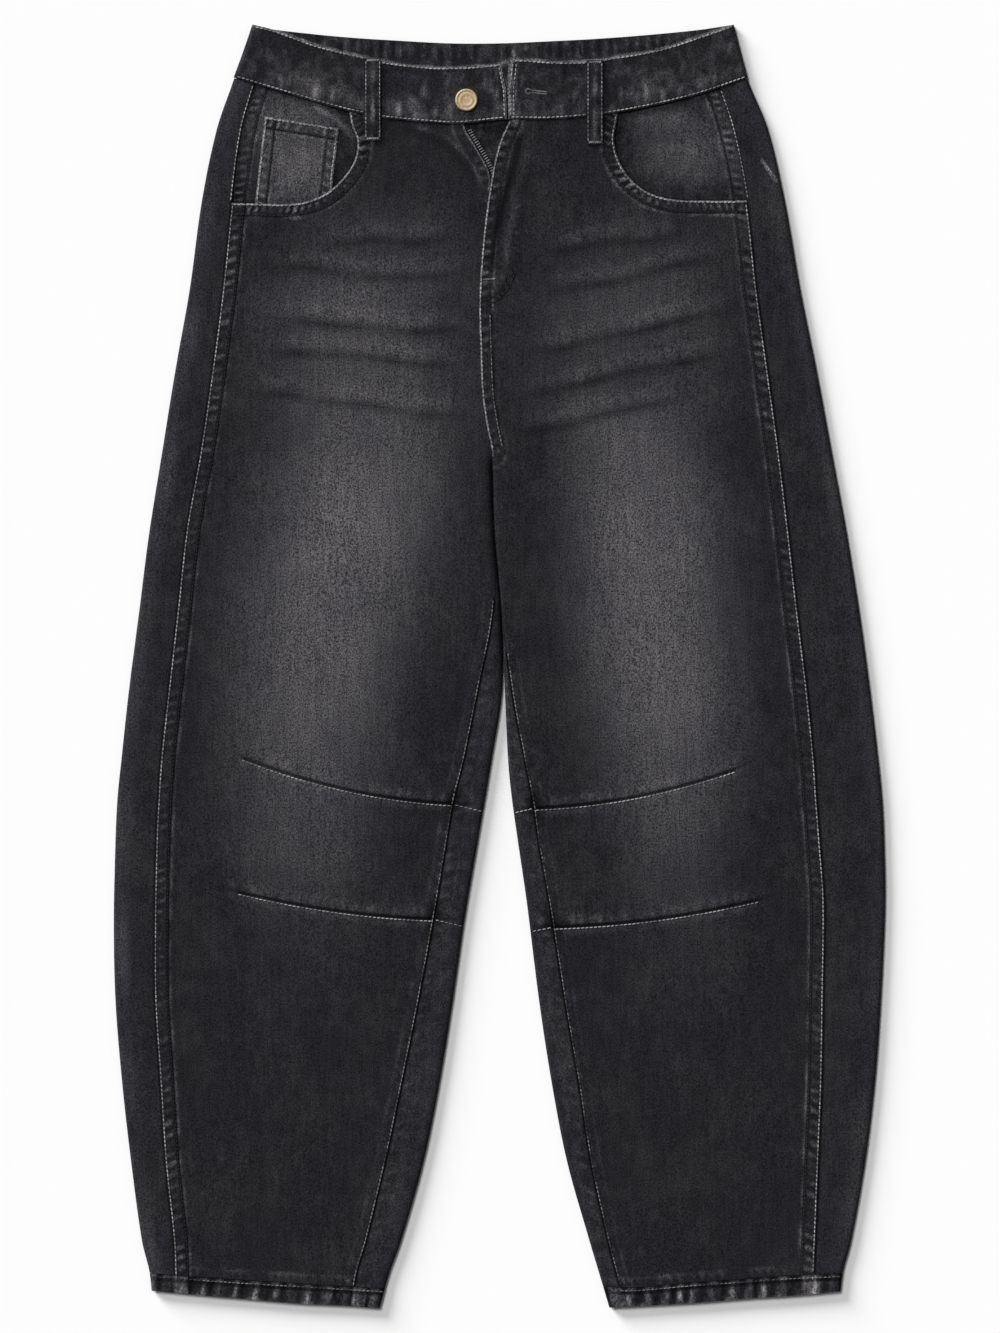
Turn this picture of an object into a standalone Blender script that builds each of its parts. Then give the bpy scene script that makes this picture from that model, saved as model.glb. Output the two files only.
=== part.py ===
"""Barrel leg trousers in washed denim, laid flat with the front up.

Each cut piece is one closed cloth wall. The frame has +Y towards the waist, +Z up
and z = 0 under the cloth. Tables and sizes are in millimetres: x is measured from
the centre line, and "down" is measured from the top corners of the waistband.
The right side is the wearer's right, so it has the negative x.
"""

import math
from collections import namedtuple

import bmesh
import bpy

MM = 0.001

# Driving sizes
LENGTH = 994.0
GAP = 0.3
CLOTH = 1.2
FRONT_UNDER = 4.1
WAIST_WALL = 3.0
HEM_WALL = 2.2
HEM_TOP = 5.9
POCKET_WALL = 1.0
FACING_LOW = 2.0
FACING_RISE = 1.3
FACING_SLOPE = 40.0
LOOP_WALL = 1.5
LOOP_WIDTH = 12.4

# Mean heights of the first and last rows of the leg panels
WAIST_ROW = 58.0
HEM_ROW = 967.0

# The leg's flattened tube
FOLD = FRONT_UNDER / 2
FOLD_OUTER = FOLD + CLOTH / 2
QUARTER = math.pi * FOLD / 2
CROTCH = 345.0
CROTCH_RUN = 15.0

# Outline of one leg at each height: silhouette, outseam and inseam strips, inner edge
LEG_COLUMNS = ("down", "outer", "side_strip", "inner_strip", "inner")
RIGHT_LEG = (
    (0, -192, 17, 0, 0),
    (43, -206, 18, 0, 0),
    (81, -219, 20, 0, -1),
    (139, -231, 24, 0, -4),
    (205, -240, 26, 0, -8),
    (267, -251, 29, 0, -10),
    (329, -261, 30, 0, -6),
    (391, -271, 29, 0, -4),
    (453, -279, 30, 6, 1),
    (515, -287, 31, 18.5, 2.2),
    (570, -293, 31, 21.5, -6),
    (600, -296, 32, 24, -11),
    (632, -297.5, 32, 24, -16.5),
    (694, -298.8, 32, 24, -27),
    (756, -297.5, 31, 26.5, -36),
    (818, -292.5, 30, 29, -46),
    (880, -285.5, 27, 29.5, -58.5),
    (942, -277, 25, 27, -76),
    (967, -271, 20, 25.5, -85),
    (994, -268.5, 19, 22, -92.5),
)
LEFT_LEG = (
    (0, 180, 24, 0, 0),
    (43, 192.5, 25, 0, 0),
    (81, 208, 28, 0, -1),
    (139, 221.5, 30, 0, -4),
    (205, 233, 34, 0, -8),
    (267, 245.5, 38, 0, -10),
    (329, 257, 41, 0, -6),
    (391, 268.5, 45, 0, -4),
    (453, 278.5, 48, 1, 1),
    (515, 287, 49, 5.5, 4),
    (570, 293.5, 50, 13, 6.5),
    (600, 296.5, 51, 16, 9.5),
    (632, 298, 50, 16, 14),
    (680, 298.8, 47.5, 17.5, 21),
    (756, 295.5, 45, 20, 30.5),
    (818, 291, 41.5, 21, 40),
    (880, 283.5, 36.5, 18.5, 52),
    (942, 272.5, 28, 14.5, 69.5),
    (967, 266, 22.5, 13.5, 77),
    (994, 263, 20, 13, 85),
)

# Edge curves of the waist, each a row of x and down
FRONT_TOP = (
    (-191.5, 0), (-173, 4.7), (-143, 15.5), (-106, 24.8), (-84, 29.4), (-47, 33),
    (0.5, 30.5), (9, 27), (43, 28.7), (66, 28.5), (86, 25.6), (124, 19), (157, 8.5), (181.5, 0),
)
FRONT_SEAM = (
    (-206, 41), (-158, 55.4), (-121, 66), (-105, 69.5), (-90, 72.5), (-54, 76), (-32, 77),
    (5, 73.5), (40, 73.5), (83, 69.5), (124, 62), (157, 53.5), (192.5, 41.5),
)
BACK_TOP = (
    (-191.5, 0), (-185, 2.3), (-155, 6.2), (-116, 10), (-77, 12.5), (-38, 14.5),
    (0, 14.5), (47, 12.5), (78, 10.8), (117, 7.8), (155, 4), (181.5, 0),
)
BACK_SEAM = ((-206, 41), (0, 57), (192.5, 41.5))
SEAM_GAP = 0.5
WAIST_FOLD = {-1: (-191.5, -206), 1: (181.5, 192.5)}

# Front ends of the waistband, each a row of share down its height and x
WAIST_END = {-1: ((0, 0.8), (0.5, 5.0), (1, 5.6)), 1: ((0, 8.9), (0.5, 6.4), (1, 6.8))}

# The fly: the left front's free edge, and how far the right front lies open from it
FLY_EDGE = (
    (74, 8), (85, 2.7), (101, -2.7), (126, -7.4), (159, -12), (191, -14.7), (219, -15.9),
    (248, -15.1), (285, -13.6), (308, -10.5), (330, -6),
)
FLY_OPEN = ((70, 39), (81, 31), (97, 15.5), (112, 4), (124, 0), (330, 0))
PLACKET_WIDTH = 28.0
PLACKET_STRAIGHT = 182.0
PLACKET_END = 218.0
PLACKET_RISE = 0.6

# Strips behind the fly: top, end, and how far each edge lies from the edge it follows
FlyStrip = namedtuple("FlyStrip", "top end right left")
SHIELD = FlyStrip(59, 214, -9, 20)
ZIP_TAPE = FlyStrip(80, 206, -6, 5)

# Belt loops, each its middle's x, top and end, and the button's middle
BELT_LOOPS = {"right": (-98.0, 26.6, 90.0), "left": (74.0, 28.0, 93.0)}
BUTTON_PLACE = (-25.6, 58.7)
BUTTON_STEPS = 28

# Pocket mouths, from the waist seam down and out to the side seam
MOUTHS = {
    -1: ((-116, 55), (-116, 70), (-114.3, 79), (-110, 91), (-113.5, 108), (-128, 126),
         (-143, 135), (-161, 139), (-197, 138.5), (-225, 138)),
    1: ((91.5, 55), (91, 73), (88.7, 89), (92, 104), (100.5, 118.5), (115, 130),
        (134.5, 135.5), (157, 136.5), (190, 136.5), (225, 136.5)),
}
MOUTH_TOP = 30.0
MOUTH_SIDE = 240.0
FACING_UNDERLAP = 8.0
COIN_CORNERS = ((-181.7, 71.3), (-124.4, 80.6), (-131, 136), (-190, 145))

# Hem edges, each a row of x and down
HEM_SEAM = {
    -1: ((-270, 967), (-209, 971.5), (-141, 975.7), (-91, 978.8)),
    1: ((82, 977.5), (104, 978), (148, 974.2), (181, 971.9), (224, 968.8), (266, 967)),
}
HEM_BOTTOM = {
    -1: ((-269, 980.5), (-232, 984), (-201, 986.6), (-155, 990.5), (-116, 992.3), (-92.6, 994.3)),
    1: ((85, 993.8), (117, 992), (155, 989.7), (194, 986.6), (233, 984), (264, 981)),
}
HEM_WAVES = 22
HEM_WAVE_RISE = 0.35
HEM_WAVE_SLANT = 0.35

# Knee darts: height at the inner edge, rise and reach across the leg
Dart = namedtuple("Dart", "down rise reach")
DARTS = {
    -1: (Dart(605, 83, 0.72), Dart(694, 51, 0.71)),
    1: (Dart(608, 83, 0.67), Dart(700, 51, 0.67)),
}
DART_DEPTH = 0.7
DART_RIDGE = 0.45
DART_FADE = 0.14

# Creases that fan across the top of each thigh: height at the inner edge, rise at the
# outer one, and the share of the way out where each starts and ends
Crease = namedtuple("Crease", "down rise start end")
CREASES = {
    -1: (
        Crease(170.5, 4, 0.14, 0.64), Crease(198, 12, 0.12, 0.8), Crease(239, 12, 0.14, 0.77),
        Crease(266, 19, 0.18, 0.8), Crease(305, 26, 0.18, 0.82),
    ),
    1: (
        Crease(183, 33, 0.2, 0.68), Crease(215, 44, 0.18, 0.8), Crease(260, 48, 0.16, 0.84),
        Crease(293, 52, 0.13, 0.8), Crease(320, 52, 0.1, 0.64),
    ),
}
CREASE_DEPTH = 0.45
CREASE_WIDTH = 6.0


def smooth(rows, at, column=1):
    """Read a smooth curve through a table's rows; the first column is the place."""
    last = len(rows) - 1
    i = 0
    while i < last - 1 and at > rows[i + 1][0]:
        i += 1

    def slope(k):
        low, high = max(k - 1, 0), min(k + 1, last)
        return (rows[high][column] - rows[low][column]) / (rows[high][0] - rows[low][0])

    start, end = rows[i], rows[i + 1]
    span = end[0] - start[0]
    t = min(max((at - start[0]) / span, 0.0), 1.0)
    a, b = start[column], end[column]
    return (
        a * (2 * t**3 - 3 * t**2 + 1)
        + slope(i) * span * (t**3 - 2 * t**2 + t)
        + b * (3 * t**2 - 2 * t**3)
        + slope(i + 1) * span * (t**3 - t**2)
    )


def straight(rows, at):
    """Read a table along straight lines; the first column is the place."""
    for start, end in zip(rows, rows[1:]):
        if at <= end[0] or end is rows[-1]:
            t = min(max((at - start[0]) / (end[0] - start[0]), 0.0), 1.0)
            return mix(start[1], end[1], t)


def ease(t):
    """Rise smoothly from 0 to 1 as t does."""
    t = min(max(t, 0.0), 1.0)
    return t * t * (3 - 2 * t)


def mix(a, b, t):
    """The value a share t of the way from a to b."""
    return a + (b - a) * t


def bell(distance, width):
    """A soft hump of height 1, about twice the width across."""
    return math.exp(-((distance / width) ** 2))


def hem_seam(side, x, upward):
    """Height of the hem's seam, which is straight on the underside."""
    rows = HEM_SEAM[side]
    return mix(straight((rows[0], rows[-1]), x), smooth(rows, x), upward)


def fly_edge(down):
    """The left front's edge at the centre front."""
    return smooth(FLY_EDGE, down)


def zip_edge(down):
    """The right front's edge, which lies away from the fly at its top."""
    return fly_edge(down) - max(smooth(FLY_OPEN, down), 0.0)


class Section:
    """The flattened tube of one leg at one height, walked round from the inner edge.

    A place on it is a length in millimetres: 0 where the underside leaves the inner
    fold, growing outwards along the underside, round the outer fold and back over
    the top. A negative place goes up the inner fold instead.
    """

    def __init__(self, side, down):
        rows = RIGHT_LEG if side < 0 else LEFT_LEG
        value = {name: smooth(rows, down, i) for i, name in enumerate(LEG_COLUMNS) if i}
        self.side = side
        self.down = down
        self.turn = ease((down - CROTCH + CROTCH_RUN) / CROTCH_RUN) * math.pi / 2
        self.outer = value["outer"]
        self.inner = value["inner"] + side * GAP / 2
        self.side_strip = value["side_strip"]
        self.inner_strip = max(value["inner_strip"], 0.0) if down > CROTCH else 0.0
        self.inner_root = self.inner + side * FOLD_OUTER * math.sin(self.turn)
        self.outer_root = self.outer - side * FOLD_OUTER
        self.width = abs(self.outer_root - self.inner_root)

    def outseam(self):
        """Place of the seam that joins front and back on the outer side."""
        return self.width + QUARTER + self.side_strip

    def back_start(self):
        """Where the back panel ends on the inner side."""
        if self.turn < math.pi / 2:
            return -FOLD * self.turn
        return -(QUARTER + self.inner_strip) + GAP / 2

    def front_end(self):
        """Where the front panel ends on the inner side."""
        top_root = 2 * self.width + 2 * QUARTER
        if self.turn == 0:
            edge = fly_edge(self.down) if self.side > 0 else zip_edge(self.down)
            return top_root - self.side * (edge - self.inner) - GAP / 2
        if self.turn < math.pi / 2:
            return top_root + FOLD * self.turn
        return top_root + QUARTER - self.inner_strip - GAP / 2

    def across(self, x):
        """Share of the way from the inner edge to the outer one."""
        return min(max((x - self.inner) / (self.outer - self.inner), 0.0), 1.0)

    def point(self, place, lift):
        """Position x, z and upward share at a place, lift outwards of the wall's middle."""
        reach = FOLD + lift
        middle = CLOTH / 2 + FOLD
        top_start = self.width + 2 * QUARTER
        if 0 <= place <= self.width:
            return self.inner_root + self.side * place, CLOTH / 2 - lift, 0.0
        if self.width < place < top_start:
            turn = (place - self.width) / FOLD
            x = self.outer_root + self.side * reach * math.sin(turn)
            return x, middle - reach * math.cos(turn), (1 - math.cos(turn)) / 2
        if place < 0:
            over = -place
            if over < 2 * QUARTER:
                turn = over / FOLD
                x = self.inner_root - self.side * reach * math.sin(turn)
                return x, middle - reach * math.cos(turn), (1 - math.cos(turn)) / 2
            return self.inner_root + self.side * (over - 2 * QUARTER), middle + reach, 1.0
        along = place - top_start
        if along <= self.width or self.turn == 0:
            return self.outer_root - self.side * along, middle + reach, 1.0
        turn = (along - self.width) / FOLD
        x = self.inner_root - self.side * reach * math.sin(turn)
        return x, middle + reach * math.cos(turn), (1 + math.cos(turn)) / 2


class LegCloth:
    """How one leg's cloth is bent along its rows and raised on its upper face."""

    def __init__(self, side):
        self.side = side
        self.upper, self.lower = DARTS[side]
        self.tilt = (
            (WAIST_ROW, 0), (90, 0), *((crease.down, crease.rise) for crease in CREASES[side]),
            (410, 0), (HEM_ROW, 0),
        )
        self.bow = (
            (WAIST_ROW, 0), (400, 0), (500, 0.5 * self.upper.rise),
            (self.upper.down, self.upper.rise), (self.lower.down, self.lower.rise),
            (780, 0.3 * self.lower.rise), (880, 0), (HEM_ROW, 0),
        )

    def row_down(self, row, across, x, upward):
        """Real height of a row, which follows the waist, the darts and the hem."""
        waist = mix(straight(BACK_SEAM, x), smooth(FRONT_SEAM, x), upward) + SEAM_GAP
        down = row + (1 - ease((row - WAIST_ROW) / 110)) * (waist - WAIST_ROW)
        hem = hem_seam(self.side, x, upward) - GAP / 2
        down += ease((row - HEM_ROW + 90) / 90) * (hem - HEM_ROW)
        return down - straight(self.tilt, row) * across - straight(self.bow, row) * across**2

    def relief(self, row, across, x):
        """Height added to the upper face by darts, creases and the fly placket."""
        rise = 0.0
        for dart in (self.upper, self.lower):
            below = row - dart.down
            ridges = bell(below - 6, 5) + bell(below + 9, 8)
            fade = ease((dart.reach - across) / DART_FADE)
            rise += (DART_RIDGE * ridges - DART_DEPTH * bell(below, 2.6)) * fade
        for crease in CREASES[self.side]:
            fade = ease((across - crease.start) / 0.12) * ease((crease.end - across) / 0.15)
            rise -= CREASE_DEPTH * bell(row - crease.down, CREASE_WIDTH) * fade
        edge = ease(across / 0.08) * ease((1 - across) / 0.06)
        return rise * edge

    def placket(self, down, x):
        """Extra thickness inside the curved stitch line of the fly."""
        if self.side < 0 or down > PLACKET_END:
            return 0.0
        turn = max(down - PLACKET_STRAIGHT, 0) / (PLACKET_END - PLACKET_STRAIGHT)
        width = PLACKET_WIDTH * math.sqrt(max(1 - turn * turn, 0.0))
        return PLACKET_RISE * ease((width + 1.5 - (x - fly_edge(down))) / 4)


def panel_rows(side):
    """Heights of the grid rows of one leg, close together at its darts and creases."""
    creases = [crease.down for crease in CREASES[side]]
    rows = [WAIST_ROW, 78, 98, 118, 138, 155]
    rows.append(creases[0])
    for before, crease in zip(creases, creases[1:]):
        rows += [(before + crease) / 2, crease]
    rows += [CROTCH - CROTCH_RUN, CROTCH - CROTCH_RUN / 2, CROTCH, 362, 395, 440, 490, 535, 572]
    for dart in DARTS[side]:
        rows += [dart.down - 9, dart.down - 3, dart.down, dart.down + 3, dart.down + 8]
        if dart is DARTS[side][0]:
            rows += [dart.down + 44]
    return rows + [745, 800, 855, 905, 942, HEM_ROW]


def back_places(section):
    """Places of the back panel's columns, from the inner end to the outseam."""
    start = section.back_start()
    end = section.outseam() - GAP / 2
    wanted = [start, -2 * QUARTER, -1.5 * QUARTER, -QUARTER, -QUARTER / 2, 0, 10]
    wanted += [section.width * share for share in (0.35, 0.68)]
    wanted += [section.width + QUARTER * turn for turn in (0, 0.5, 1, 1.5, 2)]
    wanted += [end]
    return [max(place, start + 1.2 * i) for i, place in enumerate(wanted)]


def front_places(section):
    """Places of the front panel's columns, from the outseam to the inner end."""
    start = section.outseam() + GAP / 2
    end = section.front_end()
    plain = [mix(start, end - 32, i / 8) for i in range(9)]
    near = [end - 25, end - 12, end - 4]
    top_root = 2 * section.width + 2 * QUARTER
    if end > top_root:
        near = [end - 14, min(top_root, end - 3), (max(top_root, end - 4) + end) / 2]
    return plain + near + [end]


def grid_solid(name, columns, rows, outer, inner, joined=False):
    """Make a closed wall from a grid: outer and inner give the point of a column and row."""
    mesh = bmesh.new()
    bmesh.ops.create_grid(mesh, x_segments=columns, y_segments=rows, size=0.5)

    def key(vert):
        return round((vert.co.x + 0.5) * columns), round((vert.co.y + 0.5) * rows)

    outer_keys = {vert: key(vert) for vert in mesh.verts}
    made = bmesh.ops.extrude_face_region(mesh, geom=mesh.faces[:], use_keep_orig=True)["geom"]
    inner_keys = {item: key(item) for item in made if isinstance(item, bmesh.types.BMVert)}
    for keys, surface in ((outer_keys, outer), (inner_keys, inner)):
        for vert, place in keys.items():
            vert.co = [value * MM for value in surface(*place)]
    if joined:
        column_of = {vert: place[0] for vert, place in {**outer_keys, **inner_keys}.items()}
        ends = [
            face for face in mesh.faces
            if {column_of[vert] for vert in face.verts} in ({0}, {columns})
        ]
        bmesh.ops.delete(mesh, geom=ends, context="FACES")
        bmesh.ops.remove_doubles(mesh, verts=mesh.verts, dist=0.01 * MM)
    return finish_mesh(name, mesh)


def finish_mesh(name, mesh):
    """Turn the faces outwards, split bent quads and make the object."""
    bmesh.ops.triangulate(mesh, faces=mesh.faces[:])
    bmesh.ops.recalc_face_normals(mesh, faces=mesh.faces)
    data = bpy.data.meshes.new(name)
    mesh.to_mesh(data)
    mesh.free()
    data.shade_smooth()
    data.set_sharp_from_angle(angle=math.radians(40))
    thing = bpy.data.objects.new(name, data)
    bpy.context.scene.collection.objects.link(thing)
    return thing


def to_frame(x, down, z):
    return x, LENGTH / 2 - down, z


def leg_panel(name, side, places_of, count):
    """Build a front or back panel of one leg from its section places."""
    cloth = LegCloth(side)
    rows = panel_rows(side)

    def surface(lift):
        def at(column, row):
            level = rows[len(rows) - 1 - row]
            down = level
            for _ in range(3):
                section = Section(side, down)
                place = places_of(section)[column]
                x, z, upward = section.point(place, lift)
                across = section.across(x)
                down = cloth.row_down(level, across, x, upward)
            rise = cloth.relief(level, across, x) * upward
            if lift > 0 and upward > 0.5:
                rise += cloth.placket(down, x)
            return to_frame(x, down, z + rise)

        return at

    return grid_solid(name, count - 1, len(rows) - 1, surface(CLOTH / 2), surface(-CLOTH / 2))


def smooth_outline(points, steps=4):
    """A smooth run through corner points of x and down."""
    length = [0.0]
    for a, b in zip(points, points[1:]):
        length.append(length[-1] + math.dist(a, b))
    table = [(run, *point) for run, point in zip(length, points)]
    total = (len(points) - 1) * steps
    places = [
        mix(length[i // steps], length[min(i // steps + 1, len(length) - 1)], (i % steps) / steps)
        for i in range(total + 1)
    ]
    return [(smooth(table, place, 1), smooth(table, place, 2)) for place in places]


def mouth_outline(side):
    """The closed outline of what is cut away for a pocket mouth."""
    curve = smooth_outline(MOUTHS[side])
    return curve + [(side * MOUTH_SIDE, MOUTH_TOP), (curve[0][0], MOUTH_TOP)]


def cut_mouth(panel, side):
    """Cut the pocket mouth out of a front panel."""
    depth = 3 * FRONT_UNDER
    mesh = bmesh.new()
    low = [to_frame(x, down, FRONT_UNDER / 2) for x, down in mouth_outline(side)]
    face = mesh.faces.new([mesh.verts.new([value * MM for value in point]) for point in low])
    made = bmesh.ops.extrude_face_region(mesh, geom=[face])["geom"]
    raised = [item for item in made if isinstance(item, bmesh.types.BMVert)]
    bmesh.ops.translate(mesh, verts=raised, vec=(0, 0, depth * MM))
    cutter = finish_mesh(panel.name + "_mouth_cutter", mesh)
    cutter.hide_render = True
    cutter.display_type = "WIRE"
    cut = panel.modifiers.new("pocket mouth", "BOOLEAN")
    cut.operation = "DIFFERENCE"
    cut.solver = "EXACT"
    cut.object = cutter


def depth_in_mouth(side, x, down):
    """How far a place lies inside the pocket mouth, or 0 under the front panel."""
    outline = mouth_outline(side)
    inside = False
    for (ax, ay), (bx, by) in zip(outline, outline[1:] + outline[:1]):
        if (ay > down) != (by > down) and x < ax + (bx - ax) * (down - ay) / (by - ay):
            inside = not inside
    return min(math.dist((x, down), point) for point in outline[:-2]) if inside else 0.0


def facing_height(side, x, down):
    """Middle of the pocket facing, which sinks under the front panel at the mouth."""
    return FACING_LOW + FACING_RISE * ease((depth_in_mouth(side, x, down) - 1) / FACING_SLOPE)


def pocket_facing(name, side):
    """The denim piece seen inside a pocket mouth, from the side seam inwards."""
    inner_x = side * (min(abs(point[0]) for point in MOUTHS[side]) - FACING_UNDERLAP)
    low = max(point[1] for point in MOUTHS[side]) + FACING_UNDERLAP
    columns, rows = 10, 9
    tuck = 3.0

    def surface(lift):
        def at(column, row):
            share = 1 - row / rows
            x = inner_x
            for _ in range(3):
                high = smooth(FRONT_SEAM, x) + 2 * GAP
                down = mix(high, low, share)
                section = Section(side, down)
                outer_x = section.point(section.outseam(), 0)[0] + side * tuck
                x = mix(outer_x, inner_x, column / columns)
            return to_frame(x, down, facing_height(side, x, down) + lift)

        return at

    return grid_solid(name, columns, rows, surface(POCKET_WALL / 2), surface(-POCKET_WALL / 2))


def coin_pocket(name):
    """The small patch pocket on the right facing; its lower edge runs under the front."""
    columns, rows = 8, 9
    rise = POCKET_WALL + GAP + 0.08

    def surface(lift):
        def at(column, row):
            s, t = column / columns, 1 - row / rows
            top_left, top_right, low_right, low_left = COIN_CORNERS
            x = mix(mix(top_left[0], top_right[0], s), mix(low_left[0], low_right[0], s), t)
            down = mix(mix(top_left[1], top_right[1], s), mix(low_left[1], low_right[1], s), t)
            return to_frame(x, down, facing_height(-1, x, down) + rise + lift)

        return at

    return grid_solid(name, columns, rows, surface(POCKET_WALL / 2), surface(-POCKET_WALL / 2))


def fly_strip(name, strip, left_follows, under):
    """A flat strip behind the fly between two edges that follow its curve."""
    rows = 10

    def surface(z):
        def at(column, row):
            down = mix(strip.end, strip.top, row / rows)
            edges = (zip_edge(down) + strip.right, left_follows(down) + strip.left)
            return to_frame(edges[column], down, z)

        return at

    return grid_solid(name, 1, rows, surface(under + POCKET_WALL), surface(under))


def waistband(name):
    """The waistband: one flattened loop, open at the centre front."""
    middle = WAIST_WALL + GAP / 2
    fold = middle - WAIST_WALL / 2
    front = 13
    back = 16
    turns = 4
    stops = [("front", 1, i / front) for i in range(front + 1)]
    stops += [("turn", 1, i / turns) for i in range(1, turns)]
    stops += [("back", 0, i / back) for i in range(back + 1)]
    stops += [("turn", -1, 1 - i / turns) for i in range(1, turns)]
    stops += [("front", -1, 1 - i / front) for i in range(front + 1)]
    rows = 2

    def fold_x(side, share):
        top, low = WAIST_FOLD[side]
        return mix(top, low, share)

    def edge_down(x, share, upward):
        high = mix(smooth(BACK_TOP, x), smooth(FRONT_TOP, x), upward)
        low = mix(straight(BACK_SEAM, x), smooth(FRONT_SEAM, x), upward)
        return mix(high, low, share)

    def surface(lift):
        def at(column, row):
            part, side, run = stops[column]
            share = 1 - row / rows
            roots = {s: fold_x(s, share) - s * (fold + WAIST_WALL / 2) for s in (-1, 1)}
            if part == "front":
                x = mix(straight(WAIST_END[side], share), roots[side], run)
                return to_frame(x, edge_down(x, share, 1), middle + fold + lift)
            if part == "back":
                x = mix(roots[1], roots[-1], run)
                return to_frame(x, edge_down(x, share, 0), middle - fold - lift)
            turn = math.pi * run
            x = roots[side] + side * (fold + lift) * math.sin(turn)
            upward = (1 + math.cos(turn)) / 2
            down = edge_down(x, share, upward)
            return to_frame(x, down, middle + (fold + lift) * math.cos(turn))

        return at

    wall = WAIST_WALL / 2
    return grid_solid(name, len(stops) - 1, rows, surface(wall), surface(-wall))


def belt_loop(name, x, top, end):
    """A folded strip over the waistband, tacked down at its top and below the seam."""
    over = 2 * WAIST_WALL + 2 * GAP
    low = FRONT_UNDER + CLOTH + GAP
    heights = (
        (0, over), (0.12, over + 0.2), (0.3, over + 1.0), (0.55, over + 1.1), (0.7, over + 0.8),
        (0.84, low + 0.9), (1, low + 0.1),
    )
    rows = 10

    def surface(z):
        def at(column, row):
            share = 1 - row / rows
            down = mix(top, end, share)
            return to_frame(x + LOOP_WIDTH * (column - 0.5), down, smooth(heights, share) + z)

        return at

    return grid_solid(name, 1, rows, surface(LOOP_WALL), surface(0))


def hem(name, side):
    """The turned-up hem of one leg: a closed band, puckered along its upper face."""
    middle = HEM_TOP / 2
    fold = middle - HEM_WALL / 2
    top_columns = HEM_WAVES * 3
    under_columns = 10
    turns = 4
    stops = [("under", i / under_columns) for i in range(under_columns + 1)]
    stops += [("outer", i / turns) for i in range(1, turns)]
    stops += [("top", i / top_columns) for i in range(top_columns + 1)]
    stops += [("inner", i / turns) for i in range(1, turns + 1)]
    rows = 2

    def surface(lift):
        def at(column, row):
            part, run = stops[column]
            share = 1 - row / rows
            down = mix(HEM_ROW, 990, share)
            for _ in range(3):
                section = Section(side, down)
                inner = section.inner + side * (fold + HEM_WALL / 2)
                outer = section.outer - side * (fold + HEM_WALL / 2)
                x = {"under": mix(inner, outer, run), "outer": outer,
                     "top": mix(outer, inner, run), "inner": inner}[part]
                upward = {"under": 0, "outer": run, "top": 1, "inner": 1 - run}[part]
                high = hem_seam(side, x, upward) + GAP / 2
                down = mix(high, smooth(HEM_BOTTOM[side], x), share)
            reach = fold + lift
            turn = math.pi * run
            if part == "under":
                return to_frame(x, down, middle - reach)
            if part == "outer":
                x += side * reach * math.sin(turn)
                return to_frame(x, down, middle - reach * math.cos(turn))
            if part == "inner":
                x -= side * reach * math.sin(turn)
                return to_frame(x, down, middle + reach * math.cos(turn))
            ends = ease(run / 0.04) * ease((1 - run) / 0.04)
            wave = math.sin(2 * math.pi * (HEM_WAVES * run + HEM_WAVE_SLANT * share)) * ends
            return to_frame(x, down, middle + reach + HEM_WAVE_RISE * wave)

        return at

    wall = HEM_WALL / 2
    return grid_solid(name, len(stops) - 1, rows, surface(wall), surface(-wall), joined=True)


def button(name, place):
    """The shank button's cap: a turned dish with a raised rim."""
    base = 2 * WAIST_WALL + 2 * GAP
    profile = (
        (0, base), (5.5, base), (7.9, base + 0.8), (8.7, base + 1.9), (8.4, base + 2.9),
        (7.5, base + 3.2), (6.8, base + 2.8), (3.4, base + 2.9), (0, base + 3.0),
    )
    mesh = bmesh.new()
    verts = [mesh.verts.new((radius * MM, 0, z * MM)) for radius, z in profile]
    edges = [mesh.edges.new(pair) for pair in zip(verts, verts[1:])]
    bmesh.ops.spin(
        mesh, geom=verts + edges, cent=(0, 0, 0), axis=(0, 0, 1), dvec=(0, 0, 0),
        angle=2 * math.pi, steps=BUTTON_STEPS, use_merge=True, use_duplicate=False,
    )
    bmesh.ops.remove_doubles(mesh, verts=mesh.verts, dist=0.01 * MM)
    thing = finish_mesh(name, mesh)
    thing.location = [value * MM for value in to_frame(*place, 0)]
    return thing


def paint(thing, colour, roughness, metallic=0.0):
    """Give an object its own plain material."""
    material = bpy.data.materials.new(thing.name)
    material.use_nodes = True
    shader = material.node_tree.nodes["Principled BSDF"]
    shader.inputs["Base Color"].default_value = (*colour, 1)
    shader.inputs["Roughness"].default_value = roughness
    shader.inputs["Metallic"].default_value = metallic
    thing.data.materials.append(material)


WASHED = (0.045, 0.044, 0.052)
FADED = (0.085, 0.083, 0.09)
DARK = (0.02, 0.02, 0.024)
BRASS = (0.72, 0.58, 0.34)


def build():
    """Make every piece of the trousers."""
    for thing in list(bpy.data.objects):
        bpy.data.objects.remove(thing, do_unlink=True)

    for side, word in ((-1, "right"), (1, "left")):
        paint(leg_panel("back_" + word, side, back_places, 15), WASHED, 0.9)
        front = leg_panel("front_" + word, side, front_places, 13)
        cut_mouth(front, side)
        paint(front, WASHED, 0.9)
        paint(pocket_facing("pocket_facing_" + word, side), FADED, 0.9)
        paint(hem("hem_" + word, side), WASHED, 0.9)

        paint(belt_loop("belt_loop_" + word, *BELT_LOOPS[word]), WASHED, 0.9)

    shield_under = CLOTH + GAP
    tape_under = shield_under + POCKET_WALL + GAP
    paint(coin_pocket("coin_pocket"), FADED, 0.9)
    paint(fly_strip("fly_shield", SHIELD, fly_edge, shield_under), DARK, 0.9)
    paint(fly_strip("zip_tape", ZIP_TAPE, zip_edge, tape_under), DARK, 0.8)
    paint(waistband("waistband"), WASHED, 0.9)
    paint(button("button", BUTTON_PLACE), BRASS, 0.35, 1.0)


build()
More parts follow.
